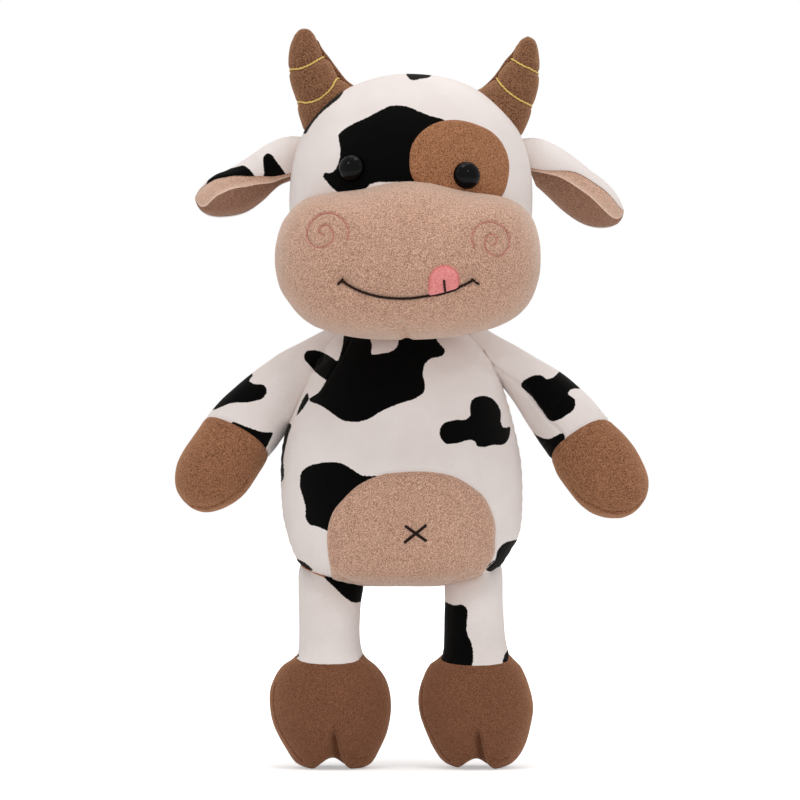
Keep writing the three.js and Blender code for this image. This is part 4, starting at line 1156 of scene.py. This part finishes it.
# How much a change of size counts beside one of depth, the swell at the front, and what is a point
MUZZLE_SIZE_STEP = 70
MUZZLE_FRONT_SWELL = -1.3
MUZZLE_POINT = 0.02
MUZZLE_DART = [(401.5, 325), (404, 332), (407, 339)]
# Where the dart runs on under the muzzle, from its seen end
DART_UNDER = ((0, 0.02, -0.002), (0, 0.05, 0.004))
DART_SPACING = 0.002
# How far from the smile and the nostrils the cloth has finer faces
SMILE_FINE = 0.004
SWIRL_FINE = 0.003
# What faces forward enough, as the normal's y, to carry the eye patch and the tongue
EYE_PATCH_FACING = -0.05
TONGUE_FACING = -0.1
# Spacing of points along a seam, in pixels
SEAM_SPACING = 1.5
SMILE_CORNER = (0.0050, 0.0024)
# Half the moulded eye's outline, as (radius, height) in mm: its rim, then its dome
EYE_RIM = [(0, -3), (7.2, -3), (8.0, -1.2), (8.35, -0.2), (8.3, 0.5), (8.0, 1.3)]
EYE_DOME = (8.0, 4.3)
EYE_TOP = (0, 5.6)
EYE_AROUND = 48
# The tail's cord and the neck's wad, as (share of the length, share of the width)
CORD_ROWS = [
    (0, 0), (0.03, 0.6), (0.12, 0.97), (0.3, 1.03), (0.6, 0.98), (0.9, 0.94), (0.97, 0.7), (1, 0),
]
CORD_BEND = 0.0008
NECK_ROWS = [
    (-1, 0), (-0.98, 0.6), (-0.85, 0.92), (0, 0.97), (0.85, 0.92), (0.98, 0.6), (1, 0),
]
# The tuft's strands: their radius and its taper, the turn from one to the next, how far out each
# starts, bulges and ends as a share of the tuft's half width, where it bulges, its twist, and how
# much shorter the outer ones are
TUFT_STRANDS = 48
TUFT_SUNK = 0.002
STRAND_RADIUS = 0.0010
STRAND_TAPER = 0.5
STRAND_TURN = 2.4
STRAND_OUT = (0.36, 0.86, 0.45)
STRAND_BULGE = 0.45
STRAND_TWIST = 0.5
STRAND_SHORTER = 0.12
# Heights from, to and by which the centre and side seams run, and how far off their rays start
BODY_SEAM_HEIGHTS = (0.122, 0.262, 0.0015)
HEAD_SEAM_HEIGHTS = (0.262, 0.41, 0.0015)
RAY_START = 0.3
# Seams round the limbs' roots: radius, and how far they lie in or up from the joint
ARM_ROOT_RADIUS = 0.021
ARM_ROOT_IN = 0.008
ARM_ROOT_SLOPE = 0.6
LEG_ROOT_RADIUS = 0.0205
LEG_ROOT_UP = 0.004
# How far ahead of the neck's plane the belly patch ends, and the head's front spots pass into
# those behind
BELLY_AHEAD = 0.012
HEAD_TURN = 0.006
# Limbs: motion, end, rows, end seam, spots in front and behind, and the way out from the body
LIMBS = {
    "arm": ("raise", "hand", ARM_ROWS, WRISTS, ARM_SPOTS, ARM_BACK_SPOTS, (0.82, 0, -0.57)),
    "leg": ("swing", "hoof", LEG_ROWS, ANKLES, LEG_SPOTS, LEG_BACK_SPOTS, (0, 0, -1)),
}
# How far the front of a limb's end seam lies ahead of its two ends
END_SEAM_AHEAD = 0.02
# How far before and past its joint a limb's or an ear's cloth would bend; dress uses neither
LIMB_BEND = (0.012, 0.024)
EAR_BEND = (0.004, 0.012)
# Ear panels: number of the edge where they end, name, material, slot, and the side they face
EAR_PANELS = (
    (0, "outer", "white_plush", "white_plush", 1),
    (1, "inner", "ear_fleece", "brown_fleece", -1),
)
# An ear panel's points along and across, the angle of its lower edge, the mm that its seam takes
# up, how far its two faces keep from the middle surface, and the waves of its cloth
EAR_ALONG = 72
EAR_ACROSS = 64
EAR_LOW_EDGE = math.radians(-82)
EAR_SEAM_CLOTH = 0.3
EAR_GAP = 0.00015
EAR_LEAST = 0.0003
EAR_WAVE = 0.0006
EAR_WAVE_SIZE = 0.018
# The ear's spots go right round it
EAR_SPOT_MIDDLE = 10.0
# The hoof's cleft: depth, how far it leans, its half width at the top and what that gains, the
# shares of it that are slope, and the arch at the sole
CLEFT_DEPTH = 0.0105
CLEFT_LEAN = 0.0016
CLEFT_HALF = 0.0018
CLEFT_SPREAD = 0.0062
CLEFT_SLOPES = (1.55, 0.45)
ARCH_HALF = 0.0125
ARCH_FLAT = 0.25
HORN_SEAM_HALF = 0.0009


# Body, and what is sewn on it

def torso_rows():
    return [
        seen_section(first, second, NECK[1], front, back)
        for first, second, front, back in level_rows(TORSO_ROWS)
    ]


def head_place(x, y, z):
    """A place in mm from the neck's pivot, in the tilted head."""
    c, s = math.cos(HEAD_TILT), math.sin(HEAD_TILT)
    shifted = x + HEAD_SHIFT
    return NECK + MM * np.array([shifted * c + z * s, y, -shifted * s + z * c])


def head_rows():
    side = head_place(1, 0, 0) - head_place(0, 0, 0)
    bottom = HEAD_ROWS[0][0]
    rows = []
    for height, half, front, back in HEAD_ROWS:
        shift = HEAD_FORWARD * min(1.0, (height - bottom) / HEAD_FORWARD_RISE)
        rows.append(section(head_place(0, shift, height), side * half, front * MM, back * MM))
    return rows


def limb_rows(table, middle):
    """Rows of a limb that is seen from the front; a fourth entry sets a row back, in mm."""
    return [
        seen_section(first, second, middle + sum(behind) * MM, depth, depth)
        for first, second, depth, *behind in table
    ]


def muzzle_skin():
    """The traced outline, drawn in towards the front and the hidden back."""
    traced = smooth_line(MUZZLE_OUTLINE, MUZZLE_SPACING, True)
    outline = np.array([from_photo(*pixel, MUZZLE_WIDEST) for pixel in traced])
    centre = outline.mean(axis=0)
    table = np.array(MUZZLE_RINGS)
    steps = np.hypot(np.diff(table[:, 0]), MUZZLE_SIZE_STEP * np.diff(table[:, 1]))
    knots = np.concatenate([[0], np.cumsum(steps)])
    tangents = inner_tangents(knots, table)
    tangents[-1] = (0, MUZZLE_FRONT_SWELL * table[-2, 1] / (knots[-1] - knots[-2]))
    rings = []
    for depth, size in hermite(knots, table, tangents, np.linspace(0, knots[-1], MUZZLE_DEPTHS)):
        ring = np.array([centre]) if size < MUZZLE_POINT else centre + size * (outline - centre)
        ring[:, 1] = depth * MM
        rings.append(ring)
    return skin(rings)


def ring_line(centre, axis, radius, count=160):
    """A circle of points, for a seam round a limb's root or end."""
    axis = unit(np.array(axis, float))
    beside = unit(np.cross(axis, (0.31, 0.9, 0.2)))
    other = np.cross(axis, beside)
    angles = np.linspace(0, 2 * math.pi, count, endpoint=False)
    return np.array([
        centre + radius * (math.cos(a) * beside + math.sin(a) * other) for a in angles
    ])


def upright_line(surface, heights, angle):
    """Points up a form's skin, where a ray towards its middle at an angle meets it."""
    points = []
    heading = Vector((math.sin(angle), -math.cos(angle), 0))
    for height in np.arange(*heights):
        start = Vector((NECK[0], NECK[1], height)) + heading * RAY_START
        points += cast(surface, start, -heading)
    return np.array(points)


def build_body():
    body = make_object("body_plush", *loft(torso_rows(), 2.35))
    stuff(body, "body", LUMP_SEEDS["body"])
    surface = surface_of(body)
    sew(body, seen_line(surface, BELLY_OUTLINE[:14], 2), *SEAMS["belly"])
    for angle in (math.pi / 2, -math.pi / 2, math.pi):
        sew(body, upright_line(surface, BODY_SEAM_HEIGHTS, angle), *SEAMS["side"])
    for side, sign in SIDES:
        arm = PIVOTS[f"arm_{side}_raise"] + (-sign * ARM_ROOT_IN, 0, 0)
        root = ring_line(arm, (sign, 0, -ARM_ROOT_SLOPE), ARM_ROOT_RADIUS)
        sew(body, root, *SEAMS["arm_root"])
        leg = PIVOTS[f"leg_{side}_swing"] + (0, 0, LEG_ROOT_UP)
        sew(body, ring_line(leg, (0, 0, 1), LEG_ROOT_RADIUS), *SEAMS["leg_root"])
    sew(body, seen_line(surface, SHOULDER_SEAM, SEAM_SPACING), *SEAMS["shoulder"])
    spots_on(body, BODY_SPOTS, BODY_BACK_SPOTS, NECK[1])
    shown = positions(body)[:, 1] < NECK[1] - BELLY_AHEAD
    belly = raised_patch("belly_patch_fleece", body, BELLY_OUTLINE, shown, SPOT_SPACING, "belly")
    dress(body, "white_plush", "torso", ("body_cover", "body_filling"))
    dress(belly, "tan_fleece", "torso", ("belly_patch",))
    return body, belly


def build_navel(belly):
    navel = seen_stitches("navel_stitches", surface_of(belly), NAVEL, 1.0, "navel")
    dress(navel, "dark_thread", "torso", ("navel_stitch",))


def build_head():
    head = make_object("head_plush", *loft(head_rows(), 2.2))
    stuff(head, "head", LUMP_SEEDS["head"], over_neck=True)
    crown = upright_line(surface_of(head), HEAD_SEAM_HEIGHTS, math.pi)
    sew(head, crown, *SEAMS["crown"])
    spots_on(head, HEAD_SPOTS, HEAD_BACK_SPOTS, NECK[1] - HEAD_TURN)
    shown = normals(head)[:, 1] < EYE_PATCH_FACING
    patch = raised_patch("eye_patch_fleece", head, EYE_PATCH_OUTLINE, shown, SPOT_SPACING, "eye")
    dress(head, "white_plush", "head", ("head_cover", "head_filling"))
    dress(patch, "brown_fleece", "head", ("eye_patch",))
    return head, patch


def build_muzzle():
    muzzle = make_object("muzzle_fleece", *muzzle_skin())
    stuff(muzzle, "muzzle", LUMP_SEEDS["muzzle"], over_neck=True)
    surface = surface_of(muzzle)
    dart = seen_line(surface, MUZZLE_DART, SEAM_SPACING)
    end = dart[-1]
    under = smooth_line([end, *(end + step for step in DART_UNDER)], DART_SPACING)
    sew(muzzle, np.concatenate([dart, under]), *SEAMS["dart"])
    smile = seen_line(surface, SMILE, SEAM_SPACING)
    swirls = [seen_line(surface, line, SEAM_SPACING) for line in NOSTRILS.values()]
    refine_near(muzzle, smile, SMILE_FINE)
    for swirl in swirls:
        refine_near(muzzle, swirl, SWIRL_FINE)
    for kind in ("smile_hollow", "smile"):
        sew(muzzle, smile, *SEAMS[kind])
    for corner in (smile[0], smile[-1]):
        press(muzzle, corner, *SMILE_CORNER)
    for swirl in swirls:
        for kind in ("swirl_ridge", "swirl"):
            sew(muzzle, swirl, *SEAMS[kind])
    dress(muzzle, "tan_fleece", "head", ("muzzle_cover", "muzzle_filling"))
    return muzzle


def build_face(muzzle, head, patch):
    surface = surface_of(muzzle)
    smile = seen_stitches("smile_stitches", surface, [SMILE, *SMILE_TICKS], 1.0, "smile")
    dress(smile, "dark_thread", "head", ("smile_stitch",))
    for side, nostril in NOSTRILS.items():
        swirl = seen_stitches(f"nostril_{side}_stitches", surface, [nostril], 1.0, "nostril")
        dress(swirl, "pink_thread", "head", (f"nostril_{side}_stitch",))
    shown = normals(muzzle)[:, 1] < TONGUE_FACING
    tongue = raised_patch("tongue_felt", muzzle, TONGUE_OUTLINE, shown, 1.0, "tongue")
    dress(tongue, "tongue_felt", "head", ("tongue",))
    surface = surface_of(tongue)
    rim = seen_stitches("tongue_rim_stitches", surface, [TONGUE_OUTLINE[1:10]], 0.8, "tongue_rim")
    dress(rim, "pink_thread", "head")
    centre = seen_stitches("tongue_stitches", surface, [TONGUE_STITCH], 0.8, "tongue")
    dress(centre, "dark_thread", "head", ("tongue_stitch",))
    build_eye("right", surface_of(head))
    build_eye("left", surface_of(patch))


def build_eye(side, surface):
    """A moulded dome with a thin rim, seated square to the cloth."""
    column, row, size = EYES[side]
    points, facings = seen_on(surface, [(column, row)])
    place = Vector(points[0])
    turn = Vector((0, 0, 1)).rotation_difference(Vector(facings[0]))
    wide, tall = EYE_DOME
    base = EYE_RIM[-1][1]
    angles = np.linspace(0.15, 1.45, 9)
    dome = [(wide * math.cos(a), base + tall * math.sin(a)) for a in angles]
    rings = []
    for radius, height in [*EYE_RIM, *dome, EYE_TOP]:
        ring = []
        for k in range(EYE_AROUND if radius else 1):
            angle = 2 * math.pi * k / EYE_AROUND
            local = Vector((radius * math.cos(angle), radius * math.sin(angle), height))
            ring.append(place + turn @ (local * MM * size))
        rings.append(ring)
    eye = make_object(f"eye_{side}_dome", *skin(rings))
    refine(eye)
    dress(eye, "eye_plastic", "head", (f"eye_{side}",))


# Limbs, horns and ears

def end_plane(seam, tip, middle):
    """The plane at a limb's end seam: its middle, the way out to the tip, and the radius."""
    first, second, front = (from_photo(*place, middle) for place in seam)
    front = front + (0, -END_SEAM_AHEAD, 0)
    direction = unit(np.cross(second - first, front - first))
    if direction @ (from_photo(*tip, middle) - first) < 0:
        direction = -direction
    return (first + second) / 2, direction, np.linalg.norm(second - first) / 2


def build_limb(kind, side, sign):
    """One stuffed limb, cut at its seam into a white and a brown cover."""
    motion, end_kind, tables, seams, spots, back_spots, out = LIMBS[kind]
    body = f"{kind}_{side}"
    pivot = PIVOTS[f"{body}_{motion}"]
    middle = pivot[1]
    limb = make_object(f"{body}_plush", *loft(limb_rows(tables[side], middle), 2.1, 0.0015, 60))
    stuff(limb, "limb", LUMP_SEEDS[side])
    centre, direction, radius = end_plane(seams[side], tables[side][-1][0], middle)
    sew(limb, ring_line(centre, direction, radius * 0.98, 240), *SEAMS["limb_end"])
    surface = surface_of(limb)
    for line, depth, width in LIMB_SEAMS[kind][side]:
        line = seen_line(surface, line, SEAM_SPACING)
        sew(limb, line, depth * MM, width * MM, *LIMB_GATHER)
    if kind == "leg":
        carve_cleft(limb, *HOOF_CLEFT[side], middle)
    end = cut_off(limb, centre, direction, f"{end_kind}_{side}_plush")
    spots_on(limb, spots[side], back_spots[side], middle)
    along = np.array(out) * (sign, 1, 1)
    before, beyond = LIMB_BEND
    dress(limb, "white_plush", replaces=(f"{body}_cover", f"{body}_filling"),
          bend=("torso", body, pivot - before * along, pivot + beyond * along))
    dress(end, f"{end_kind}_plush", body, (f"{end_kind}_{side}_cover",))
    return limb, end


def carve_cleft(limb, column, top, bottom, middle):
    """The cleft between the toes: a crease from its top down to an arch at the sole."""
    places = positions(limb)
    apex = from_photo(column, top, middle)
    arch = from_photo(column, bottom, middle)[2]
    share = np.clip((apex[2] - places[:, 2]) / apex[2], 0, 1)
    half = CLEFT_HALF + CLEFT_SPREAD * share
    across = (places[:, 0] - apex[0] - CLEFT_LEAN * share) / half
    ramp = np.clip((across + 1) / CLEFT_SLOPES[0], 0, 1)
    ramp = ramp * np.clip((1 - across) / CLEFT_SLOPES[1], 0, 1)
    ramp = ramp * ramp * (3 - 2 * ramp)
    ahead = np.sign(places[:, 1] - middle)
    places[:, 1] -= ahead * CLEFT_DEPTH * ramp * np.minimum(1, 5 * share) * (0.5 + 0.5 * share)
    span = np.clip(1 - ((places[:, 0] - apex[0]) / ARCH_HALF) ** 2, 0, 1)
    raised = arch * span ** 2
    low = places[:, 2] < raised
    places[:, 2] = np.where(low, raised + ARCH_FLAT * (places[:, 2] - raised), places[:, 2])
    move_to(limb, places)


def build_horn(side):
    low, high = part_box(f"horn_{side}_cover")
    depth = (low.y + high.y) / 2
    rows = limb_rows(HORN_ROWS[side], depth)
    horn = make_object(f"horn_{side}_fleece", *loft(rows, 2.0, 0.0012, 48))
    puff(horn, *HORN_SWELL)
    refine(horn)
    surface = surface_of(horn)
    hoops = [hoop_on(surface, band) for band in HORN_BANDS[side]]
    build_horn_seam(side, surface, depth)
    for hoop in hoops:
        sew(horn, hoop, *SEAMS["horn_band"])
    surface = surface_of(horn)
    for number, hoop in enumerate(hoops, 1):
        track = settle(surface, hoop)
        ring = stitches(f"horn_{side}_band_{number}_thread", [track], *STITCHES["horn_band"])
        dress(ring, "gold_thread", "head", (f"horn_{side}_band_{number}",))
    dress(horn, "horn_fleece", "head", (f"horn_{side}_cover", f"horn_{side}_filling"))


def hoop_on(surface, band):
    """A flat hoop round a horn, from the half of it that is seen in front."""
    front = seen_line(surface, band, 1.0)
    first, chord = front[0], front[-1] - front[0]
    behind = []
    for place in front[-2:0:-1]:
        on_chord = first + chord * ((place - first) @ chord) / (chord @ chord)
        start = 2 * on_chord - place
        start[1] = RAY_START
        behind += cast(surface, start, (0, -1, 0))
    hoop = smooth_line(list(front) + behind, 0.0008, closed=True)
    points, _ = settle(surface, hoop)
    return np.concatenate([points, points[:1]])


def build_horn_seam(side, surface, depth):
    """The horn's seam allowance: a narrow double edge that stands up along its inner side."""
    edge = [from_photo(*place, depth) for place in smooth_line(HORN_SEAMS[side], 3.0)]
    rows = []
    for number, outer in enumerate(edge):
        size = 0 if number in (0, len(edge) - 1) else 1
        points, facings = settle(surface, [outer])
        inner = points[0] - 0.001 * facings[0]
        thick = HORN_SEAM_HALF * size
        rows.append(section((outer + inner) / 2, (outer - inner) / 2 * size, thick, thick))
    seam = make_object(f"horn_{side}_seam_fleece", *loft(rows, 2.2, 0.0008, 20))
    dress(seam, "horn_fleece", "head")


def ear_stations(side, edge_number):
    """Along an ear: middle and half of its cloth, its fold, and the angle of one of its edges."""
    depth = PIVOTS[f"ear_{side}_flap"][1]
    stations = []
    for *places, fold in EAR_ROWS[side]:
        top, outer_edge, lip, bottom = (from_photo(*place, depth) for place in places)
        tall = np.linalg.norm(top - bottom)
        drop = min(EAR_CLOTH * MM, 0.3 * tall)
        top = top + (bottom - top) * drop / tall
        middle, half = (top + bottom) / 2, (top - bottom) / 2
        edge = (outer_edge, lip)[edge_number]
        share = np.clip(((edge - middle) @ half) / (half @ half), -0.95, 0.95)
        stations.append([*middle, *half, fold * MM, math.pi - math.asin(share)])
    return np.array(stations)


def ear_arc(side, edge_number):
    """Middle surface of an ear's cloth and its outward directions, from seam to tip."""
    stations = ear_stations(side, edge_number)
    knots = arc_lengths(stations[:, :3])
    tangents = inner_tangents(knots, stations)
    dense = hermite(knots, stations, tangents, np.linspace(0, knots[-1], EAR_ALONG))
    rows, outs = [], []
    back = np.array([0, 1, 0])
    for *values, fold, high in dense:
        middle, half = np.array(values[:3]), np.array(values[3:6])
        angles = np.linspace(EAR_LOW_EDGE, high, EAR_ACROSS)[:, None]
        rows.append(middle + np.sin(angles) * half + np.cos(angles) * fold * back)
        tall = np.linalg.norm(half)
        direction = np.sin(angles) * half / tall * fold + np.cos(angles) * tall * back
        outs.append(direction / np.linalg.norm(direction, axis=1, keepdims=True))
    return np.array(rows), np.array(outs)


def build_ear_panel(side, sign, edge_number, layer, material, slot, facing):
    """One closed panel of an ear, on the outer or inner side of its middle surface."""
    middle, outs = ear_arc(side, edge_number)
    u = np.linspace(0, 1, EAR_ALONG)[:, None, None]
    v = np.linspace(0, 1, EAR_ACROSS)[None, :, None]
    plump = np.sin(math.pi * v) ** 0.4 * np.clip(8 * np.minimum(u, 1 - u), 0.05, 1) ** 0.5
    wave = [[noise.noise(Vector(place) / EAR_WAVE_SIZE) for place in row] for row in middle]
    thick = (EAR_CLOTH - EAR_SEAM_CLOTH) * MM * plump
    thick = thick + EAR_WAVE * np.array(wave)[:, :, None] * plump
    near = middle + facing * outs * EAR_GAP
    far = middle + facing * outs * (EAR_LEAST + thick)
    vertices = np.concatenate([far.reshape(-1, 3), near.reshape(-1, 3)])
    panel = make_object(f"ear_{side}_{layer}_panel", vertices, sheet_faces(EAR_ALONG, EAR_ACROSS))
    # Painted highlight: a bright line along the front edge, the lip, and lighter cloth to the tip
    lip = 0.75 * np.exp((v - 1) / 0.025) + 0.35 * u ** 2
    set_value(panel, "lip", np.tile(lip.ravel(), 2))
    refine(panel)
    if layer == "outer":
        spots_on(panel, EAR_SPOTS[side], [], EAR_SPOT_MIDDLE)
    seam = PIVOTS[f"ear_{side}_flap"]
    out = np.array([sign, 0, 0])
    before, beyond = EAR_BEND
    dress(panel, material, replaces=(f"ear_{side}_{layer}",),
          bend=("head", f"ear_{side}", seam - before * out, seam + beyond * out))


def sheet_faces(along, across):
    """Faces of a closed sheet: two grids of along x across points, joined at their edges."""
    faces = []
    size = along * across
    for i in range(along - 1):
        for j in range(across - 1):
            a = i * across + j
            faces.append([a, a + 1, a + across + 1, a + across])
            faces.append([size + a, size + a + across, size + a + across + 1, size + a + 1])
    edge = [i * across for i in range(along)]
    edge += [(along - 1) * across + j for j in range(1, across)]
    edge += [i * across + across - 1 for i in range(along - 2, -1, -1)]
    edge += list(range(across - 2, 0, -1))
    for a, b in zip(edge, edge[1:] + edge[:1]):
        faces.append([a, b, size + b, size + a])
    return faces


# Tail, closing seams and neck

def build_tail():
    """A stuffed cord that hangs behind, with a tuft of yarn; the photograph doesn't show it."""
    pivot = PIVOTS["tail_swing"]
    low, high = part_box("tail_cord")
    length, widest = high.z - low.z, (high.x - low.x) / 2
    rows = []
    for share, size in CORD_ROWS:
        bend = CORD_BEND * math.sin(share * math.pi)
        centre = (pivot[0] + bend, pivot[1], high.z - share * length)
        rows.append(round_section(centre, size * widest))
    cord = make_object("tail_cord_plush", *loft(rows, 2.0, 0.0008, 28))
    set_value(cord, "spot", np.full(len(cord.data.vertices), NO_SPOT))
    dress(cord, "white_plush", "tail", ("tail_cord",))
    low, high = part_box("tail_tuft")
    base = np.array([pivot[0], pivot[1], high.z + TUFT_SUNK])
    strands = [strand(base, base[2] - low.z, (high.x - low.x) / 2, n) for n in range(TUFT_STRANDS)]
    tuft = make_object("tail_tuft_yarn", *merge(strands))
    dress(tuft, "brown_fleece", "tail", ("tail_tuft",))


def strand(base, drop, wide, number):
    """One strand of the tuft, which bulges out and twists on its way down."""
    turn = STRAND_TURN * number
    spread = math.sqrt((number + 0.5) / TUFT_STRANDS)
    around = np.array([math.cos(turn), math.sin(turn), 0])
    twist = turn + STRAND_TWIST
    twisted = np.array([math.cos(twist), math.sin(twist), 0])
    top, bulge, tip = STRAND_OUT
    start = base + top * wide * spread * around
    middle = base + bulge * wide * spread * around - (0, 0, STRAND_BULGE * drop)
    end = base + tip * wide * spread * twisted - (0, 0, drop * (1 - STRAND_SHORTER * spread))
    line = smooth_line([start, middle, end], 0.002)
    rows = []
    for place, share in zip(line, np.linspace(0, 1, len(line))):
        radius = STRAND_RADIUS * (1 - STRAND_TAPER * share) if 0 < share < 1 else 0
        rows.append(round_section(place, radius))
    return loft(rows, 2.0, 0.002, 8)


def build_seams_and_shade(pieces):
    """Closing seams, thin threads where limbs are sewn on, painting bounce light and crease shade.
    """
    surfaces = [surface_of(piece) for piece in pieces]
    for number, (material, line) in enumerate(CLOSING_SEAMS_AND_SHADE, 1):
        points, facings = [], []
        for pixel in smooth_line(line, 1.2):
            seen = [seen_on(surface, [pixel]) for surface in surfaces]
            seen = [(point[0], facing[0]) for point, facing in seen if len(point)]
            if seen:
                point, facing = min(seen, key=lambda found: found[0][1])
                points.append(point)
                facings.append(facing)
        track = (np.array(points), np.array(facings))
        seam = stitches(f"seam_and_shade_line_{number}_thread", [track], *STITCHES["closing"])
        dress(seam, material, "torso")


def build_neck():
    """The wad that joins head and body inside their open necks."""
    low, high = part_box("neck_filling")
    middle = (np.array(low) + np.array(high)) / 2
    wide, deep, tall = (np.array(high) - np.array(low)) / 2
    rows = []
    for share, size in NECK_ROWS:
        centre = middle + (0, 0, share * tall)
        rows.append(section(centre, (size * wide, 0, 0), size * deep, size * deep))
    neck = make_object("neck_wad", *loft(rows, 2.2, 0.002, 40))
    roughen(neck, *NECK_LUMPS)
    dress(neck, "filling_fibre", "neck", ("neck_filling",))


# Stage: pale floor, soft light, camera

def background_rays(nodes):
    """1 for the rays that show the background: camera, glossy and transmission rays."""
    seen = 0.0
    for kind in ("Is Camera Ray", "Is Glossy Ray", "Is Transmission Ray"):
        seen = nodes.math("MAXIMUM", seen, nodes.add("ShaderNodeLightPath", {}, kind))
    return seen


def build_floor():
    size = FLOOR_SIZE
    corners = [(-size, -size, 0), (size, -size, 0), (size, size, 0), (-size, size, 0)]
    floor = make_object("floor", corners, [[0, 1, 2, 3]])
    nodes = Nodes(bpy.data.materials.new("pale_floor"))
    colour = nodes.ramp(nodes.noise(3.0), linear(246, 246, 246), linear(250, 250, 250), 0.3, 0.7)
    far = nodes.add("ShaderNodeVectorMath", {0: nodes.coordinates}, "Value", operation="LENGTH")
    gain = nodes.math("MULTIPLY", nodes.step(far, *FLOOR_FADE), FLOOR_FAR_GLOW)
    glow = nodes.math("ADD", FLOOR_GLOW, gain)
    nodes.fill(nodes.shader, {
        "Base Color": colour, "Roughness": 0.9, "Specular IOR Level": 0.0, "Emission Color": WHITE,
        "Emission Strength": nodes.math("MULTIPLY", background_rays(nodes), glow),
    })
    floor.data.materials.append(nodes.owner)


def world_level(nodes):
    """How strongly the world lights from each direction."""
    total = WORLD_LIGHT
    for axis, sign, gain in WORLD_LOBES:
        part = nodes.add("ShaderNodeSeparateXYZ", {0: nodes.coordinates}, axis)
        inputs = {"Value": part, "From Max": sign, "To Max": gain}
        total = nodes.math("ADD", nodes.add("ShaderNodeMapRange", inputs, "Result"), total)
    return total


def build_world():
    world = bpy.data.worlds.new("studio")
    bpy.context.scene.world = world
    nodes = Nodes(world, "Background", "Generated")
    inputs = {"Value": background_rays(nodes), "To Min": world_level(nodes), "To Max": 1.0}
    strength = nodes.add("ShaderNodeMapRange", inputs, "Result")
    nodes.fill(nodes.shader, {"Color": WHITE, "Strength": strength})


def build_lamps():
    for name, place, width, power in LAMPS:
        lamp = bpy.data.lights.new(name, "AREA")
        lamp.energy = power
        lamp.size = width
        holder = link_object(name, lamp)
        holder.location = place
        aim = Vector((CAMERA_X, 0, CAMERA_Z)) - Vector(place)
        holder.rotation_euler = aim.to_track_quat("-Z", "Y").to_euler()


def build_camera():
    camera = bpy.data.cameras.new("front")
    camera.sensor_width = SENSOR
    camera.lens = SENSOR * CAMERA_DISTANCE / (FRAME_SIZE * PIXEL)
    camera.clip_end = FAR_CLIP
    holder = link_object("front", camera)
    holder.location = (CAMERA_X, -CAMERA_DISTANCE, CAMERA_Z)
    holder.rotation_euler = (math.pi / 2, 0, 0)
    bpy.context.scene.camera = holder
    bpy.context.scene.view_settings.view_transform = "Standard"


body, belly = build_body()
build_navel(belly)
head, eye_patch = build_head()
muzzle = build_muzzle()
build_face(muzzle, head, eye_patch)
sewn_pieces = [body]
for side, sign in SIDES:
    sewn_pieces += build_limb("arm", side, sign)
    sewn_pieces += build_limb("leg", side, sign)
    build_horn(side)
    for panel in EAR_PANELS:
        build_ear_panel(side, sign, *panel)
    washer = frame["nodes"][f"eye_{side}_washer"]
    washer.data.materials.clear()
    washer.data.materials.append(MATERIALS["washer_plastic"])
build_seams_and_shade(sewn_pieces)
build_tail()
build_neck()
build_floor()
build_world()
build_lamps()
build_camera()
